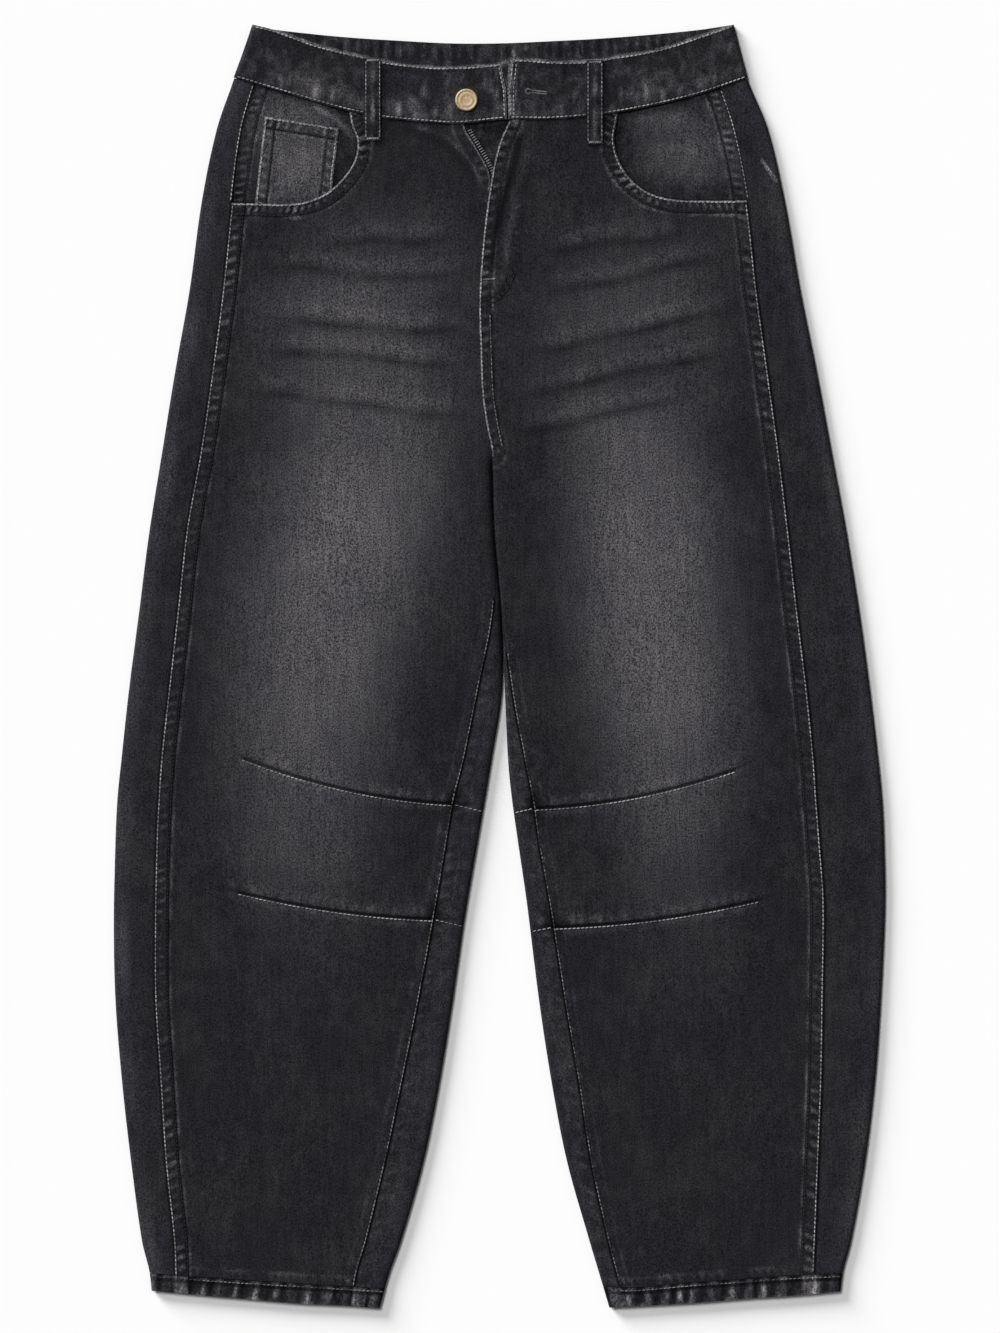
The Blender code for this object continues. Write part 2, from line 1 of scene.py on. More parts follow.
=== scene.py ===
"""Washed barrel leg trousers, laid flat with the front up: cloth, sewing and metal.

Tables and sizes are in millimetres. x is measured from the centre line towards the
wearer's left, and "down" from the top corners of the waistband. The right side is the
wearer's right, so it has the negative x.
"""

import logging
import math
import random
from collections import namedtuple
from dataclasses import dataclass, field
from enum import Enum
from typing import Callable, Iterable, Sequence

import bmesh
import bpy
import numpy as np
from mathutils import Matrix, Vector
from mathutils.bvhtree import BVHTree


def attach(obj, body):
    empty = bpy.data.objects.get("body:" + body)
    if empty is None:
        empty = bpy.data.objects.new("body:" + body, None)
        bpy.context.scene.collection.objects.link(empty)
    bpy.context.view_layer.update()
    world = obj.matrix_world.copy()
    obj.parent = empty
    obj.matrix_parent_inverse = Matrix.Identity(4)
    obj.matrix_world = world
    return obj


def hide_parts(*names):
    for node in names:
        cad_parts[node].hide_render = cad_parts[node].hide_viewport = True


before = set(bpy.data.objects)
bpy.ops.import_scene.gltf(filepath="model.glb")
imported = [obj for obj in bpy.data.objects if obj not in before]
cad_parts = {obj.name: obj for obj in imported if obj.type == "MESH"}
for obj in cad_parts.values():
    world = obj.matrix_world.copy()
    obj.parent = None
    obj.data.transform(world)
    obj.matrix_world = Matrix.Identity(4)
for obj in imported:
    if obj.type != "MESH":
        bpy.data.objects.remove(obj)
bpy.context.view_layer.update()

log = logging.getLogger("trousers")

Array = np.ndarray
Pair = tuple[Array, Array]
Object = bpy.types.Object
Material = bpy.types.Material

MM = 0.001

# Driving sizes, as in the solids
LENGTH = 994.0
GAP = 0.3
CLOTH = 1.2
FRONT_UNDER = 4.1
WAIST_WALL = 3.0
HEM_WALL = 2.2
HEM_TOP = 5.9
POCKET_WALL = 1.0
FACING_LOW = 2.0
FACING_RISE = 1.3
FACING_SLOPE = 40.0
LOOP_WALL = 1.5
LOOP_WIDTH = 12.4
WAIST_ROW = 58.0
HEM_ROW = 967.0

# The leg's flattened tube
FOLD = FRONT_UNDER / 2
FOLD_OUTER = FOLD + CLOTH / 2
QUARTER = math.pi * FOLD / 2
CROTCH = 345.0
CROTCH_RUN = 15.0

# Outline of one leg at each height: silhouette, outseam and inseam strips, inner edge
LEG_COLUMNS = ("down", "outer", "side_strip", "inner_strip", "inner")
LEGS = {
    -1: (
        (0, -192, 17, 0, 0), (43, -206, 18, 0, 0), (81, -219, 20, 0, -1),
        (139, -231, 24, 0, -4), (205, -240, 26, 0, -8), (267, -251, 29, 0, -10),
        (329, -261, 30, 0, -6), (391, -271, 29, 0, -4), (453, -279, 30, 6, 1.4),
        (515, -287, 31, 18.5, 2.2), (570, -293, 31, 21.5, -6), (600, -296, 32, 24, -11),
        (632, -297.5, 32, 24, -16.5), (694, -298.8, 32, 24, -27), (756, -297.5, 31, 26.5, -36),
        (818, -292.5, 30, 29, -46), (880, -285.5, 27, 29.5, -58.5), (942, -277, 25, 27, -76),
        (967, -271, 20, 25.5, -85), (994, -268.5, 19, 22, -92.5),
    ),
    1: (
        (0, 180, 24, 0, 0), (43, 192.5, 25, 0, 0), (81, 208, 28, 0, -1),
        (139, 221.5, 30, 0, -4), (205, 233, 34, 0, -8), (267, 245.5, 38, 0, -10),
        (329, 257, 41, 0, -6), (391, 268.5, 45, 0, -4), (453, 278.5, 48, 1, 1),
        (515, 287, 49, 5.5, 4), (570, 293.5, 50, 13, 6.5), (600, 296.5, 51, 16, 9.5),
        (632, 298, 50, 16, 14), (680, 298.8, 47.5, 17.5, 21), (756, 295.5, 45, 20, 30.5),
        (818, 291, 41.5, 21, 40), (880, 283.5, 36.5, 18.5, 52), (942, 272.5, 28, 14.5, 69.5),
        (967, 266, 22.5, 13.5, 77), (994, 263, 20, 13, 85),
    ),
}

# Edge curves of the waist, each a row of x and down
FRONT_TOP = (
    (-191.5, 0), (-173, 4.7), (-143, 15.5), (-106, 24.8), (-84, 29.4), (-47, 33),
    (0.5, 30.5), (9, 27), (43, 28.7), (66, 28.5), (86, 25.6), (124, 19), (157, 8.5), (181.5, 0),
)
FRONT_SEAM = (
    (-206, 41), (-158, 55.4), (-121, 66), (-105, 69.5), (-90, 72.5), (-54, 76), (-32, 77),
    (5, 73.5), (40, 73.5), (83, 69.5), (124, 62), (157, 53.5), (192.5, 41.5),
)
BACK_TOP = (
    (-191.5, 0), (-185, 2.3), (-155, 6.2), (-116, 10), (-77, 12.5), (-38, 14.5),
    (0, 14.5), (47, 12.5), (78, 10.8), (117, 7.8), (155, 4), (181.5, 0),
)
BACK_SEAM = ((-206, 41), (0, 57), (192.5, 41.5))
SEAM_GAP = 0.5
WAIST_TALL = 42.0
WAIST_FOLD = {-1: (-191.5, -206), 1: (181.5, 192.5)}
WAIST_CORNER = {-1: 30.5, 1: 27.5}
WAIST_END = {-1: ((0, 0.8), (0.5, 5.0), (1, 5.6)), 1: ((0, 8.9), (0.5, 6.4), (1, 6.8))}

# The fly: the left front's free edge, how far the right front lies open from it, the
# soft fold across the placket and the one that the open zip drags in the right front
FLY_EDGE = (
    (74, 8), (85, 2.7), (101, -2.7), (126, -7.4), (159, -12), (191, -14.7), (219, -15.9),
    (248, -15.1), (285, -13.6), (308, -10.5), (330, -6),
)
FLY_OPEN = ((70, 39), (81, 31), (97, 15.5), (112, 4), (124, 0), (330, 0))
FLY_FOLD = ((17, 84), (15, 96), (9.5, 118), (3, 141), (-1.5, 163), (-4, 180), (-4.5, 194))
DRAG_FOLD = (
    (-81, 76.7), (-65.5, 79.1), (-51.5, 83.7), (-39.1, 89.9), (-29.1, 98.4), (-21.3, 108.5),
    (-15.1, 118.6), (-11.6, 129.4),
)
FLY_TOP = 75.0
FLY_END = CROTCH - 16.0
FLY_CURVE_TOP = 190.0
PLACKET_WIDTH = 28.0
PLACKET_STRAIGHT = 182.0
PLACKET_END = 218.0
PLACKET_RISE = 0.6
FlyStrip = namedtuple("FlyStrip", "top end right left")
SHIELD = FlyStrip(59, 214, -9, 20)
ZIP_TAPE = FlyStrip(80, 206, -6, 5)

BELT_LOOPS = {"right": (-98.0, 26.6, 90.0), "left": (74.0, 28.0, 93.0)}
BUTTON_PLACE = (-25.6, 58.7)
BUTTONHOLE = (22.4, 52.0, 36.5, 53.2)

# Pocket mouths, from the waist seam down and out to the side seam
MOUTHS = {
    -1: ((-116, 55), (-116, 70), (-114.3, 79), (-110, 91), (-113.5, 108), (-128, 126),
         (-143, 135), (-161, 139), (-197, 138.5), (-225, 138)),
    1: ((91.5, 55), (91, 73), (88.7, 89), (92, 104), (100.5, 118.5), (115, 130),
        (134.5, 135.5), (157, 136.5), (190, 136.5), (225, 136.5)),
}
MOUTH_TOP = 30.0
MOUTH_SIDE = 240.0
FACING_UNDERLAP = 8.0
FACING_TUCK = 3.0
COIN_CORNERS = ((-181.7, 71.3), (-124.4, 80.6), (-131, 136), (-190, 145))

# Hem edges, each a row of x and down
HEM_SEAM = {
    -1: ((-270, 967), (-209, 971.5), (-141, 975.7), (-91, 978.8)),
    1: ((82, 977.5), (104, 978), (148, 974.2), (181, 971.9), (224, 968.8), (266, 967)),
}
HEM_BOTTOM = {
    -1: ((-269, 980.5), (-232, 984), (-201, 986.6), (-155, 990.5), (-116, 992.3), (-92.6, 994.3)),
    1: ((85, 993.8), (117, 992), (155, 989.7), (194, 986.6), (233, 984), (264, 981)),
}
HEM_GROOVE = (88.0, 265.0)
HEM_STITCHED = (90.0, 264.0)
HEM_WAVES = 22
HEM_WAVE_RISE = 0.35
HEM_WAVE_SLANT = 0.35

# Knee darts: height at the inner edge, rise, reach across the leg and the sewn share
Dart = namedtuple("Dart", "down rise reach sewn")
DARTS = {
    -1: (Dart(605, 83, 0.72, 0.66), Dart(694, 51, 0.71, 0.645)),
    1: (Dart(608, 83, 0.67, 0.6), Dart(700, 51, 0.67, 0.645)),
}
DART_STEPS = (0.9, 1.8, 2.8, 4, 5.5, 7.5, 10)
DART_DEPTH = 0.7
DART_RIDGE = 0.45
DART_FADE = 0.14

# Creases that fan across the top of each thigh: height at the inner edge, rise at the
# outer one, and the share of the way out where each starts and ends
Crease = namedtuple("Crease", "down rise start end")
CREASES = {
    -1: (
        Crease(170.5, 4, 0.1, 0.64), Crease(198, 12, 0.05, 0.8), Crease(239, 12, 0.02, 0.77),
        Crease(266, 19, 0.02, 0.8), Crease(305, 26, 0.03, 0.82),
    ),
    1: (
        Crease(183, 33, 0.16, 0.68), Crease(215, 44, 0.14, 0.8), Crease(260, 48, 0.1, 0.84),
        Crease(293, 52, 0.06, 0.8), Crease(320, 52, 0.02, 0.68),
    ),
}
CREASE_DEPTH = 0.5

# Where each leg is sanded pale: down, middle, reach to each side and strength
FADES = {
    -1: (
        (130, -100, 55, 0.06), (182, -100, 58, 0.38), (213, -116, 64, 0.7),
        (244, -116, 62, 0.64), (314, -105, 62, 0.78), (353, -108, 64, 1.1),
        (400, -118, 68, 1.14), (446, -130, 66, 1.04), (492, -138, 62, 1.0),
        (540, -145, 58, 0.9), (570, -144, 56, 0.74), (616, -153, 56, 0.54),
        (647, -155, 54, 0.44), (670, -155, 50, 0.28), (725, -158, 48, 0.1), (800, -160, 50, 0.02),
    ),
    1: (
        (130, 118, 58, 0.07), (182, 116, 58, 0.26), (213, 106, 58, 0.46),
        (244, 102, 64, 0.38), (280, 108, 66, 0.36), (314, 104, 48, 0.8),
        (353, 109, 54, 1.0), (400, 112, 56, 1.12), (446, 116, 56, 1.1), (492, 121, 54, 1.1),
        (540, 126, 52, 0.95), (570, 130, 50, 0.74), (616, 130, 44, 0.56),
        (647, 135, 42, 0.38), (670, 136, 42, 0.24), (725, 138, 44, 0.08), (800, 140, 50, 0.02),
    ),
}

# Light puckers over the waistband: x, share down its height, length and lean
WRINKLES = (
    (-128, 0.75, 9, 0.3), (-70, 0.7, 10, 0.2), (-58, 0.45, 12, 0.1), (-40, 0.35, 14, 0.15),
    (-34, 0.8, 8, -0.3), (-12, 0.3, 9, 0.2), (18, 0.35, 12, -0.2), (48, 0.3, 13, 0.1),
    (59, 0.62, 9, 0.3), (94, 0.62, 11, 0.1), (113, 0.66, 12, -0.1), (140, 0.5, 9, 0.4),
    (176, 0.45, 12, 0.5),
)

# Where each inseam comes into sight, and short scratches on the backs, end to end
INSEAM_START = {-1: 446.0, 1: 487.0}
SCRATCHES = {-1: (), 1: (((203, 105), (208, 112), (214, 121)),)}

# Light and dark stitches: pitch, length and width
LIGHT_STITCH = (3.3, 2.95, 1.05)
DARK_STITCH = (3.1, 2.6, 0.8)


class Side(Enum):
    """The wearer's two sides and the sign of x there."""

    RIGHT = -1
    LEFT = 1

    @property
    def word(self) -> str:
        """The side's name in the frame's nodes."""
        return self.name.lower()


def ease(t: Array) -> Array:
    """Rise smoothly from 0 to 1 as t does."""
    t = np.clip(t, 0.0, 1.0)
    return t * t * (3 - 2 * t)


def mix(a: Array, b: Array, t: Array) -> Array:
    """The value a share t of the way from a to b."""
    return a + (b - a) * t


def bell(distance: Array, width: float) -> Array:
    """A soft hump of height 1, about twice the width across."""
    return np.exp(-((distance / width) ** 2))


def smooth(rows: Sequence, at: Array, column: int = 1) -> Array:
    """Read a smooth curve through a table's rows.

    Args:
        rows: the table; its first column is the place.
        at: the places to read it at.
        column: the column that is read.

    Returns:
        The value at each place.
    """
    table = np.array(rows, float)
    stops, values = table[:, 0], table[:, column]
    index = np.arange(len(stops))
    high, low = np.minimum(index + 1, index[-1]), np.maximum(index - 1, 0)
    slopes = (values[high] - values[low]) / (stops[high] - stops[low])
    i = np.clip(np.searchsorted(stops, at, side="left") - 1, 0, index[-2])
    span = stops[i + 1] - stops[i]
    t = np.clip((at - stops[i]) / span, 0.0, 1.0)
    bend = slopes[i] * (1 - t) - slopes[i + 1] * t
    return mix(values[i], values[i + 1], ease(t)) + span * t * (1 - t) * bend


def straight(rows: Sequence, at: Array) -> Array:
    """Read a table along straight lines; the first column is the place."""
    table = np.array(rows, float)
    return np.interp(at, table[:, 0], table[:, 1])


def ripple(x: Array, y: Array, scale: float, seed: int) -> Array:
    """An irregular smooth wave, mostly between -1 and 1.

    Args:
        x: places across.
        y: places along.
        scale: about the distance between two crests.
        seed: a number that chooses the wave.

    Returns:
        The wave's height at each place.
    """
    total = 0.0
    for i in range(6):
        turn = 2.4 * (seed + 1) + 1.9 * i
        stretch = 2 * math.pi / scale * (0.6 + 0.17 * i)
        run = x * math.cos(turn) + y * math.sin(turn)
        total = total + np.sin(run * stretch + 1.7 * seed + 2.1 * i)
    return total / 2.6


def fly_edge(down: Array) -> Array:
    """The left front's edge at the centre front."""
    return smooth(FLY_EDGE, down)


def zip_edge(down: Array) -> Array:
    """The right front's edge, which lies away from the fly at its top."""
    return fly_edge(down) - np.maximum(smooth(FLY_OPEN, down), 0.0)


def hem_seam(side: int, x: Array, upward: Array) -> Array:
    """Height of the hem's seam, which is straight on the underside."""
    rows = HEM_SEAM[side]
    return mix(straight((rows[0], rows[-1]), x), smooth(rows, x), upward)


def in_frame(x: Array, down: Array, z: Array) -> Array:
    """Points in the frame, in millimetres, from x, down and height."""
    x, down, z = np.broadcast_arrays(x, down, z)
    return np.stack([x, LENGTH / 2 - down, z], axis=-1)


class Line:
    """A run across the laid cloth, as close points of x and down.

    A distance to it is positive towards +x where it runs down the cloth.
    """

    REACH = 16.0

    def __init__(self, x: Array, down: Array) -> None:
        """Keep the points and their running length."""
        self.points = np.stack([np.asarray(x, float), np.asarray(down, float)], axis=-1)
        steps = np.linalg.norm(np.diff(self.points, axis=0), axis=1)
        self.runs = np.concatenate([[0.0], np.cumsum(steps)])
        self.length = float(self.runs[-1])

    @classmethod
    def through(cls, corners: Sequence, step: float = 2.5) -> "Line":
        """A smooth line through a few corner points of x and down."""
        corners = np.array(corners, float)
        gaps = np.linalg.norm(np.diff(corners, axis=0), axis=1)
        runs = np.concatenate([[0.0], np.cumsum(gaps)])
        table = np.column_stack([runs, corners])
        stops = np.linspace(0, runs[-1], max(int(runs[-1] / step), 2) + 1)
        return cls(smooth(table, stops, 1), smooth(table, stops, 2))

    def at(self, run: Array) -> Pair:
        """The x and down of places given by their running length."""
        x = np.interp(run, self.runs, self.points[:, 0])
        return x, np.interp(run, self.runs, self.points[:, 1])

    def part(self, start: float, end: float) -> "Line":
        """The stretch of the line between two running lengths."""
        count = max(int((end - start) / 2.5), 2) + 1
        return Line(*self.at(np.linspace(start, end, count)))

    def kept(self, shown: Callable) -> "Line":
        """The points of the line that a test of x and down lets through."""
        x, down = self.at(np.arange(0, self.length, 1.0))
        chosen = shown(x, down)
        return Line(x[chosen], down[chosen])

    def beside(self, gap: float) -> "Line":
        """The line moved sideways by gap, towards its positive side."""
        way = np.gradient(self.points, axis=0)
        way /= np.maximum(np.linalg.norm(way, axis=1, keepdims=True), 1e-9)
        return Line(self.points[:, 0] + gap * way[:, 1], self.points[:, 1] - gap * way[:, 0])

    def near(self, x: Array, down: Array) -> Pair:
        """How far along the line and how far from it each place lies.

        Args:
            x, down: the places.

        Returns:
            The running length and the signed distance, which is far for places
            out of the line's reach.
        """
        along = np.zeros(x.shape)
        off = np.full(x.shape, 1000.0)
        low, high = self.points.min(0) - self.REACH, self.points.max(0) + self.REACH
        close = (x > low[0]) & (x < high[0]) & (down > low[1]) & (down < high[1])
        start, step = self.points[:-1], np.diff(self.points, axis=0)
        size = np.maximum((step**2).sum(1), 1e-12)
        for chosen in np.array_split(np.flatnonzero(close), max(close.sum() // 4000, 1)):
            if not len(chosen):
                continue
            gap_x = x.flat[chosen][:, None] - start[:, 0]
            gap_y = down.flat[chosen][:, None] - start[:, 1]
            share = np.clip((gap_x * step[:, 0] + gap_y * step[:, 1]) / size, 0, 1)
            away = np.hypot(gap_x - share * step[:, 0], gap_y - share * step[:, 1])
            best = away.argmin(1)
            row = np.arange(len(chosen))
            sign = gap_x[row, best] * step[best, 1] - gap_y[row, best] * step[best, 0]
            along.flat[chosen] = self.runs[best] + share[row, best] * np.sqrt(size[best])
            off.flat[chosen] = away[row, best] * np.where(sign < 0, -1, 1)
        return along, off


def over(rows: Sequence, start: float, end: float, shift: float = 0.0, count: int = 60) -> Line:
    """A table's curve between two x, moved down by shift."""
    x = np.linspace(start, end, count)
    return Line(x, smooth(rows, x) + shift)


def edge_line(edge: Callable, start: float, end: float, count: int) -> Line:
    """An edge that is known by its height, from one height down to another."""
    down = np.linspace(start, end, count)
    return Line(edge(down), down)


def cut_outline(mouth: Line) -> Array:
    """Corners of the cut that opens a pocket mouth, each a row of x and down."""
    first = mouth.points[0]
    side = math.copysign(MOUTH_SIDE, first[0])
    return np.vstack([mouth.points, (side, MOUTH_TOP), (first[0], MOUTH_TOP)])


@dataclass(frozen=True)
class Strip:
    """A sewn strip beside a line, raised and puckered between its rows of stitches.

    Attributes:
        line: the edge or seam that the strip follows.
        inward: the sign of the distances that lie on the strip.
        width: the strip's width.
        height: how far it stands up.
        pucker: height of its puckers.
        period: distance between two puckers.
        wear_and_shade: how pale its crests are, and how dark the painted shade in its troughs is.
        seed: a number that varies the puckers.
        calm: heights between which the puckers are faint.
    """

    line: Line
    inward: int
    width: float = 10.0
    height: float = 0.45
    pucker: float = 0.3
    period: float = 8.6
    wear_and_shade: float = 0.5
    seed: int = 0
    calm: tuple[float, float] = (0.0, 0.0)

    def effect(self, x: Array, down: Array) -> Pair:
        """What the strip adds at each place.

        Args:
            x, down: the places.

        Returns:
            The rise in millimetres, and the wear with painted shade, from -1, painted shade, to 1,
            worn pale.
        """
        along, off = self.line.near(x, down)
        off = off * self.inward
        body = ease((off + 0.2) / 1.0) * ease((self.width + 1.2 - off) / 1.8)
        wobble = 1.5 * ripple(along, 0 * along, 47, self.seed)
        wave = np.sin(2 * math.pi * along / self.period + wobble + 0.25 * off)
        patchy = np.clip(0.7 + 0.5 * ripple(along, off, 31, self.seed + 3), 0.1, 1.3)
        inside = ease((off - 1.2) / 1.6) * ease((self.width - 0.6 - off) / 1.8)
        outside = ease((off - self.width) / 1.0) * ease((self.width + 5 - off) / 4.0)
        calm = ease((down - self.calm[0]) / 60) * ease((self.calm[1] - down) / 60)
        puckers = wave * (inside + 0.3 * outside) * patchy * (1 - 0.45 * calm)
        rise = self.height * body + self.pucker * puckers
        # Pale worn crests, and painted shade in the troughs between the puckers.
        wear_and_shade = self.wear_and_shade * (np.maximum(puckers, 0) ** 1.5 - 0.6 * np.maximum(-puckers, 0))
        ridge = bell(off - self.width - 2.3, 1.0) * patchy
        return rise + 0.15 * ridge, wear_and_shade + 0.65 * self.wear_and_shade * ridge


@dataclass
class Trim:
    """The lines that mark one piece of cloth.

    Attributes:
        strips: raised sewn strips.
        edges: folded edges that are worn pale.
        shaded_grooves: lines along which shade is painted dark, such as sunk rows of stitches.
    """

    strips: list[Strip] = field(default_factory=list)
    edges: list[Line] = field(default_factory=list)
    shaded_grooves: list[Line] = field(default_factory=list)

    def effect(self, x: Array, down: Array) -> Pair:
        """The rise, and the wear with painted shade, of all the strips together."""
        effects = (np.array(strip.effect(x, down)) for strip in self.strips)
        return sum(effects, np.zeros((2, *x.shape)))

    @staticmethod
    def nearest(lines: Iterable[Line], x: Array, down: Array) -> Array:
        """Distance from each place to the nearest of some lines."""
        gap = np.full(x.shape, Line.REACH)
        for line in lines:
            gap = np.minimum(gap, np.abs(line.near(x, down)[1]))
        return gap


class Section:
    """The flattened tube of one leg at each given height.

    A place is a length round the tube: 0 where the underside leaves the inner fold,
    growing outwards along the underside, round the outer fold and back over the top.
    A negative place goes up the inner fold instead.
    """

    def __init__(self, side: int, down: Array) -> None:
        """Read the leg's table at every height."""
        value = {name: smooth(LEGS[side], down, i) for i, name in enumerate(LEG_COLUMNS) if i}
        self.side = side
        self.down = down
        self.turn = ease((down - CROTCH + CROTCH_RUN) / CROTCH_RUN) * math.pi / 2
        self.outer = value["outer"]
        self.inner = value["inner"] + side * GAP / 2
        self.side_strip = value["side_strip"]
        self.inner_strip = np.where(down > CROTCH, np.maximum(value["inner_strip"], 0), 0)
        self.inner_root = self.inner + side * FOLD_OUTER * np.sin(self.turn)
        self.outer_root = self.outer - side * FOLD_OUTER
        self.width = np.abs(self.outer_root - self.inner_root)

    def outseam(self) -> Array:
        """Place of the seam that joins front and back on the outer side."""
        return self.width + QUARTER + self.side_strip

    def back_start(self) -> Array:
        """Where the back panel ends on the inner side."""
        strip = -(QUARTER + self.inner_strip) + GAP / 2
        return np.where(self.turn < math.pi / 2, -FOLD * self.turn, strip)

    def front_end(self) -> Array:
        """Where the front panel ends on the inner side."""
        top_root = 2 * self.width + 2 * QUARTER
        edge = fly_edge(self.down) if self.side > 0 else zip_edge(self.down)
        free = top_root - self.side * (edge - self.inner) - GAP / 2
        strip = top_root + QUARTER - self.inner_strip - GAP / 2
        rounded = np.where(self.turn < math.pi / 2, top_root + FOLD * self.turn, strip)
        return np.where(self.turn == 0, free, rounded)

    def across(self, x: Array) -> Array:
        """Share of the way from the inner edge to the outer one."""
        return np.clip((x - self.inner) / (self.outer - self.inner), 0.0, 1.0)

    def seam(self, place_of: Callable) -> Array:
        """The x of one of the section's seams."""
        return self.point(place_of(self), 0)[0]

    def point(self, place: Array, lift: float) -> tuple[Array, Array, Array]:
        """Position of places on the tube.

        Args:
            place: lengths round the tube.
            lift: distance outwards of the wall's middle.

        Returns:
            x, z and the upward share, which is 1 on top and 0 underneath.
        """
        side, reach, middle = self.side, FOLD + lift, CLOTH / 2 + FOLD
        top_start = self.width + 2 * QUARTER
        along, over = place - top_start, np.maximum(-place, 0)
        cases = [
            place < 0, place <= self.width, place < top_start,
            (along <= self.width) | (self.turn == 0),
        ]
        angle = np.select(cases, [
            np.clip(over / FOLD, 0, math.pi),
            0 * place,
            np.clip((place - self.width) / FOLD, 0, math.pi),
            0 * place + math.pi,
        ], math.pi - np.maximum((along - self.width) / FOLD, 0))
        swing, level = reach * np.sin(angle), -np.cos(angle)
        x = np.select(cases, [
            self.inner_root + side * (np.maximum(over - 2 * QUARTER, 0) - swing),
            self.inner_root + side * place,
            self.outer_root + side * swing,
            self.outer_root - side * along,
        ], self.inner_root - side * swing)
        return x, middle + reach * level, (1 + level) / 2


def seam_line(side: int, place_of: Callable, start: float, end: float, count: int = 0) -> Line:
    """A lengthwise seam of one leg, from one height down to another."""
    count = count or max(int((end - start) / 4), 2)
    return edge_line(lambda down: Section(side, down).seam(place_of), start, end, count)


def model_of(name: str, mesh: bmesh.types.BMesh) -> bpy.types.Mesh:
    """Keep a bmesh as mesh data and free it."""
    data = bpy.data.meshes.new(name)
    mesh.to_mesh(data)
    mesh.free()
    return data


def link(name: str, mesh: bmesh.types.BMesh, angle: float = 50.0) -> Object:
    """Make a smooth-shaded object from a bmesh and free it."""
    data = model_of(name, mesh)
    data.shade_smooth()
    data.set_sharp_from_angle(angle=math.radians(angle))
    thing = bpy.data.objects.new(name, data)
    bpy.context.scene.collection.objects.link(thing)
    return thing


def wall(name: str, outer: Array, inner: Array, joined: bool = False) -> Object:
    """Make a closed wall of cloth from the points of its two faces.

    Args:
        name: the object's name.
        outer: points of the outer face in millimetres, by column and row.
        inner: the matching points of the inner face.
        joined: whether the last column meets the first.

    Returns:
        The new object.
    """
    columns, rows = outer.shape[0] - 1, outer.shape[1] - 1
    mesh = bmesh.new()
    bmesh.ops.create_grid(mesh, x_segments=columns, y_segments=rows, size=0.5)
    faces = [(list(mesh.verts), outer)]
    made = bmesh.ops.extrude_face_region(mesh, geom=mesh.faces[:], use_keep_orig=True)["geom"]
    faces.append(([item for item in made if isinstance(item, bmesh.types.BMVert)], inner))
    ends = set()
    for verts, points in faces:
        for vert in verts:
            column = round((vert.co.x + 0.5) * columns)
            row = round((vert.co.y + 0.5) * rows)
            if column in (0, columns):
                ends.add((vert, column))
            vert.co = points[column, row] * MM
    if joined:
        column_of = dict(ends)
        caps = [
            face for face in mesh.faces
            if {column_of.get(vert, -1) for vert in face.verts} in ({0}, {columns})
        ]
        bmesh.ops.delete(mesh, geom=caps, context="FACES")
        bmesh.ops.remove_doubles(mesh, verts=mesh.verts, dist=0.01 * MM)
    bmesh.ops.recalc_face_normals(mesh, faces=mesh.faces)
    return link(name, mesh)


def stamp(mesh: bmesh.types.BMesh, model: bpy.types.Mesh, point: Vector, axes: Sequence) -> None:
    """Add a copy of a model, in millimetres, along three scaled axes."""
    turn = Matrix([list(axis) for axis in axes]).transposed().to_4x4()
    copy = model.copy()
    copy.transform(Matrix.Scale(MM, 4) @ Matrix.Translation(point) @ turn)
    mesh.from_mesh(copy)
    bpy.data.meshes.remove(copy)


def layer(name: str, x: Array, down: Array, top: Array, under: Array) -> Object:
    """Make a wall of cloth over a grid of places, from the heights of its two faces."""
    return wall(name, in_frame(x, down, top), in_frame(x, down, under))


def grid(columns: int, rows: int) -> Pair:
    """A wall's shares across, from 0 to 1, and down, from 1 to 0."""
    return np.linspace(0, 1, columns + 1)[:, None], 1 - np.linspace(0, 1, rows + 1)[None, :]


def loop_columns(parts: Sequence) -> list[Array]:
    """Spread out what the columns of a closed loop share.

    Args:
        parts: a row for each part, with what its columns share and then their runs.

    Returns:
        One upright array for each thing in a row.
    """
    table = [(*shared, at) for *shared, runs in parts for at in runs]
    return [np.array(column)[:, None] for column in zip(*table)]


def places(thing: Object) -> tuple[Array, Array, Array]:
    """The x, down and height of every vertex of an object, in millimetres."""
    flat = np.empty(len(thing.data.vertices) * 3)
    thing.data.vertices.foreach_get("co", flat)
    points = flat.reshape(-1, 3) / MM
    return points[:, 0], LENGTH / 2 - points[:, 1], points[:, 2]


def mark(thing: Object, trim: Trim, fade: Array, wear_and_shade: Array) -> None:
    """Write on the cloth what its finish reads.

    Args:
        thing: the piece of cloth.
        trim: its edges, grooves and strips.
        fade: how far each vertex is sanded pale, from 0 to 1.
        wear_and_shade: wear and painted shade that come on top of the strips' own, from -1 to 1;
            below 0 it is mostly painted shade.
    """
    x, down, _ = places(thing)
    _, strip_wear_and_shade = trim.effect(x, down)
    values = {
        "fade": fade,
        "wear_and_shade": strip_wear_and_shade + wear_and_shade,
        "edge": trim.nearest(trim.edges, x, down),
        "shaded_groove": trim.nearest(trim.shaded_grooves, x, down),
    }
    for name, value in values.items():
        layer = thing.data.attributes.new(name, "FLOAT", "POINT")
        layer.data.foreach_set("value", np.asarray(value, np.float32))


def operator(operation: str, swapped: bool = False, clamp: bool = False) -> Callable:
    """A method that puts a Math node over a socket and another value."""

    def method(socket: "Socket", other: object = 0.0) -> "Socket":
        """The node's result."""
        settings = {"operation": operation, "use_clamp": clamp}
        values = (other, socket) if swapped else (socket, other)
        return socket.nodes.add("Math", settings, dict(enumerate(values)))

    return method


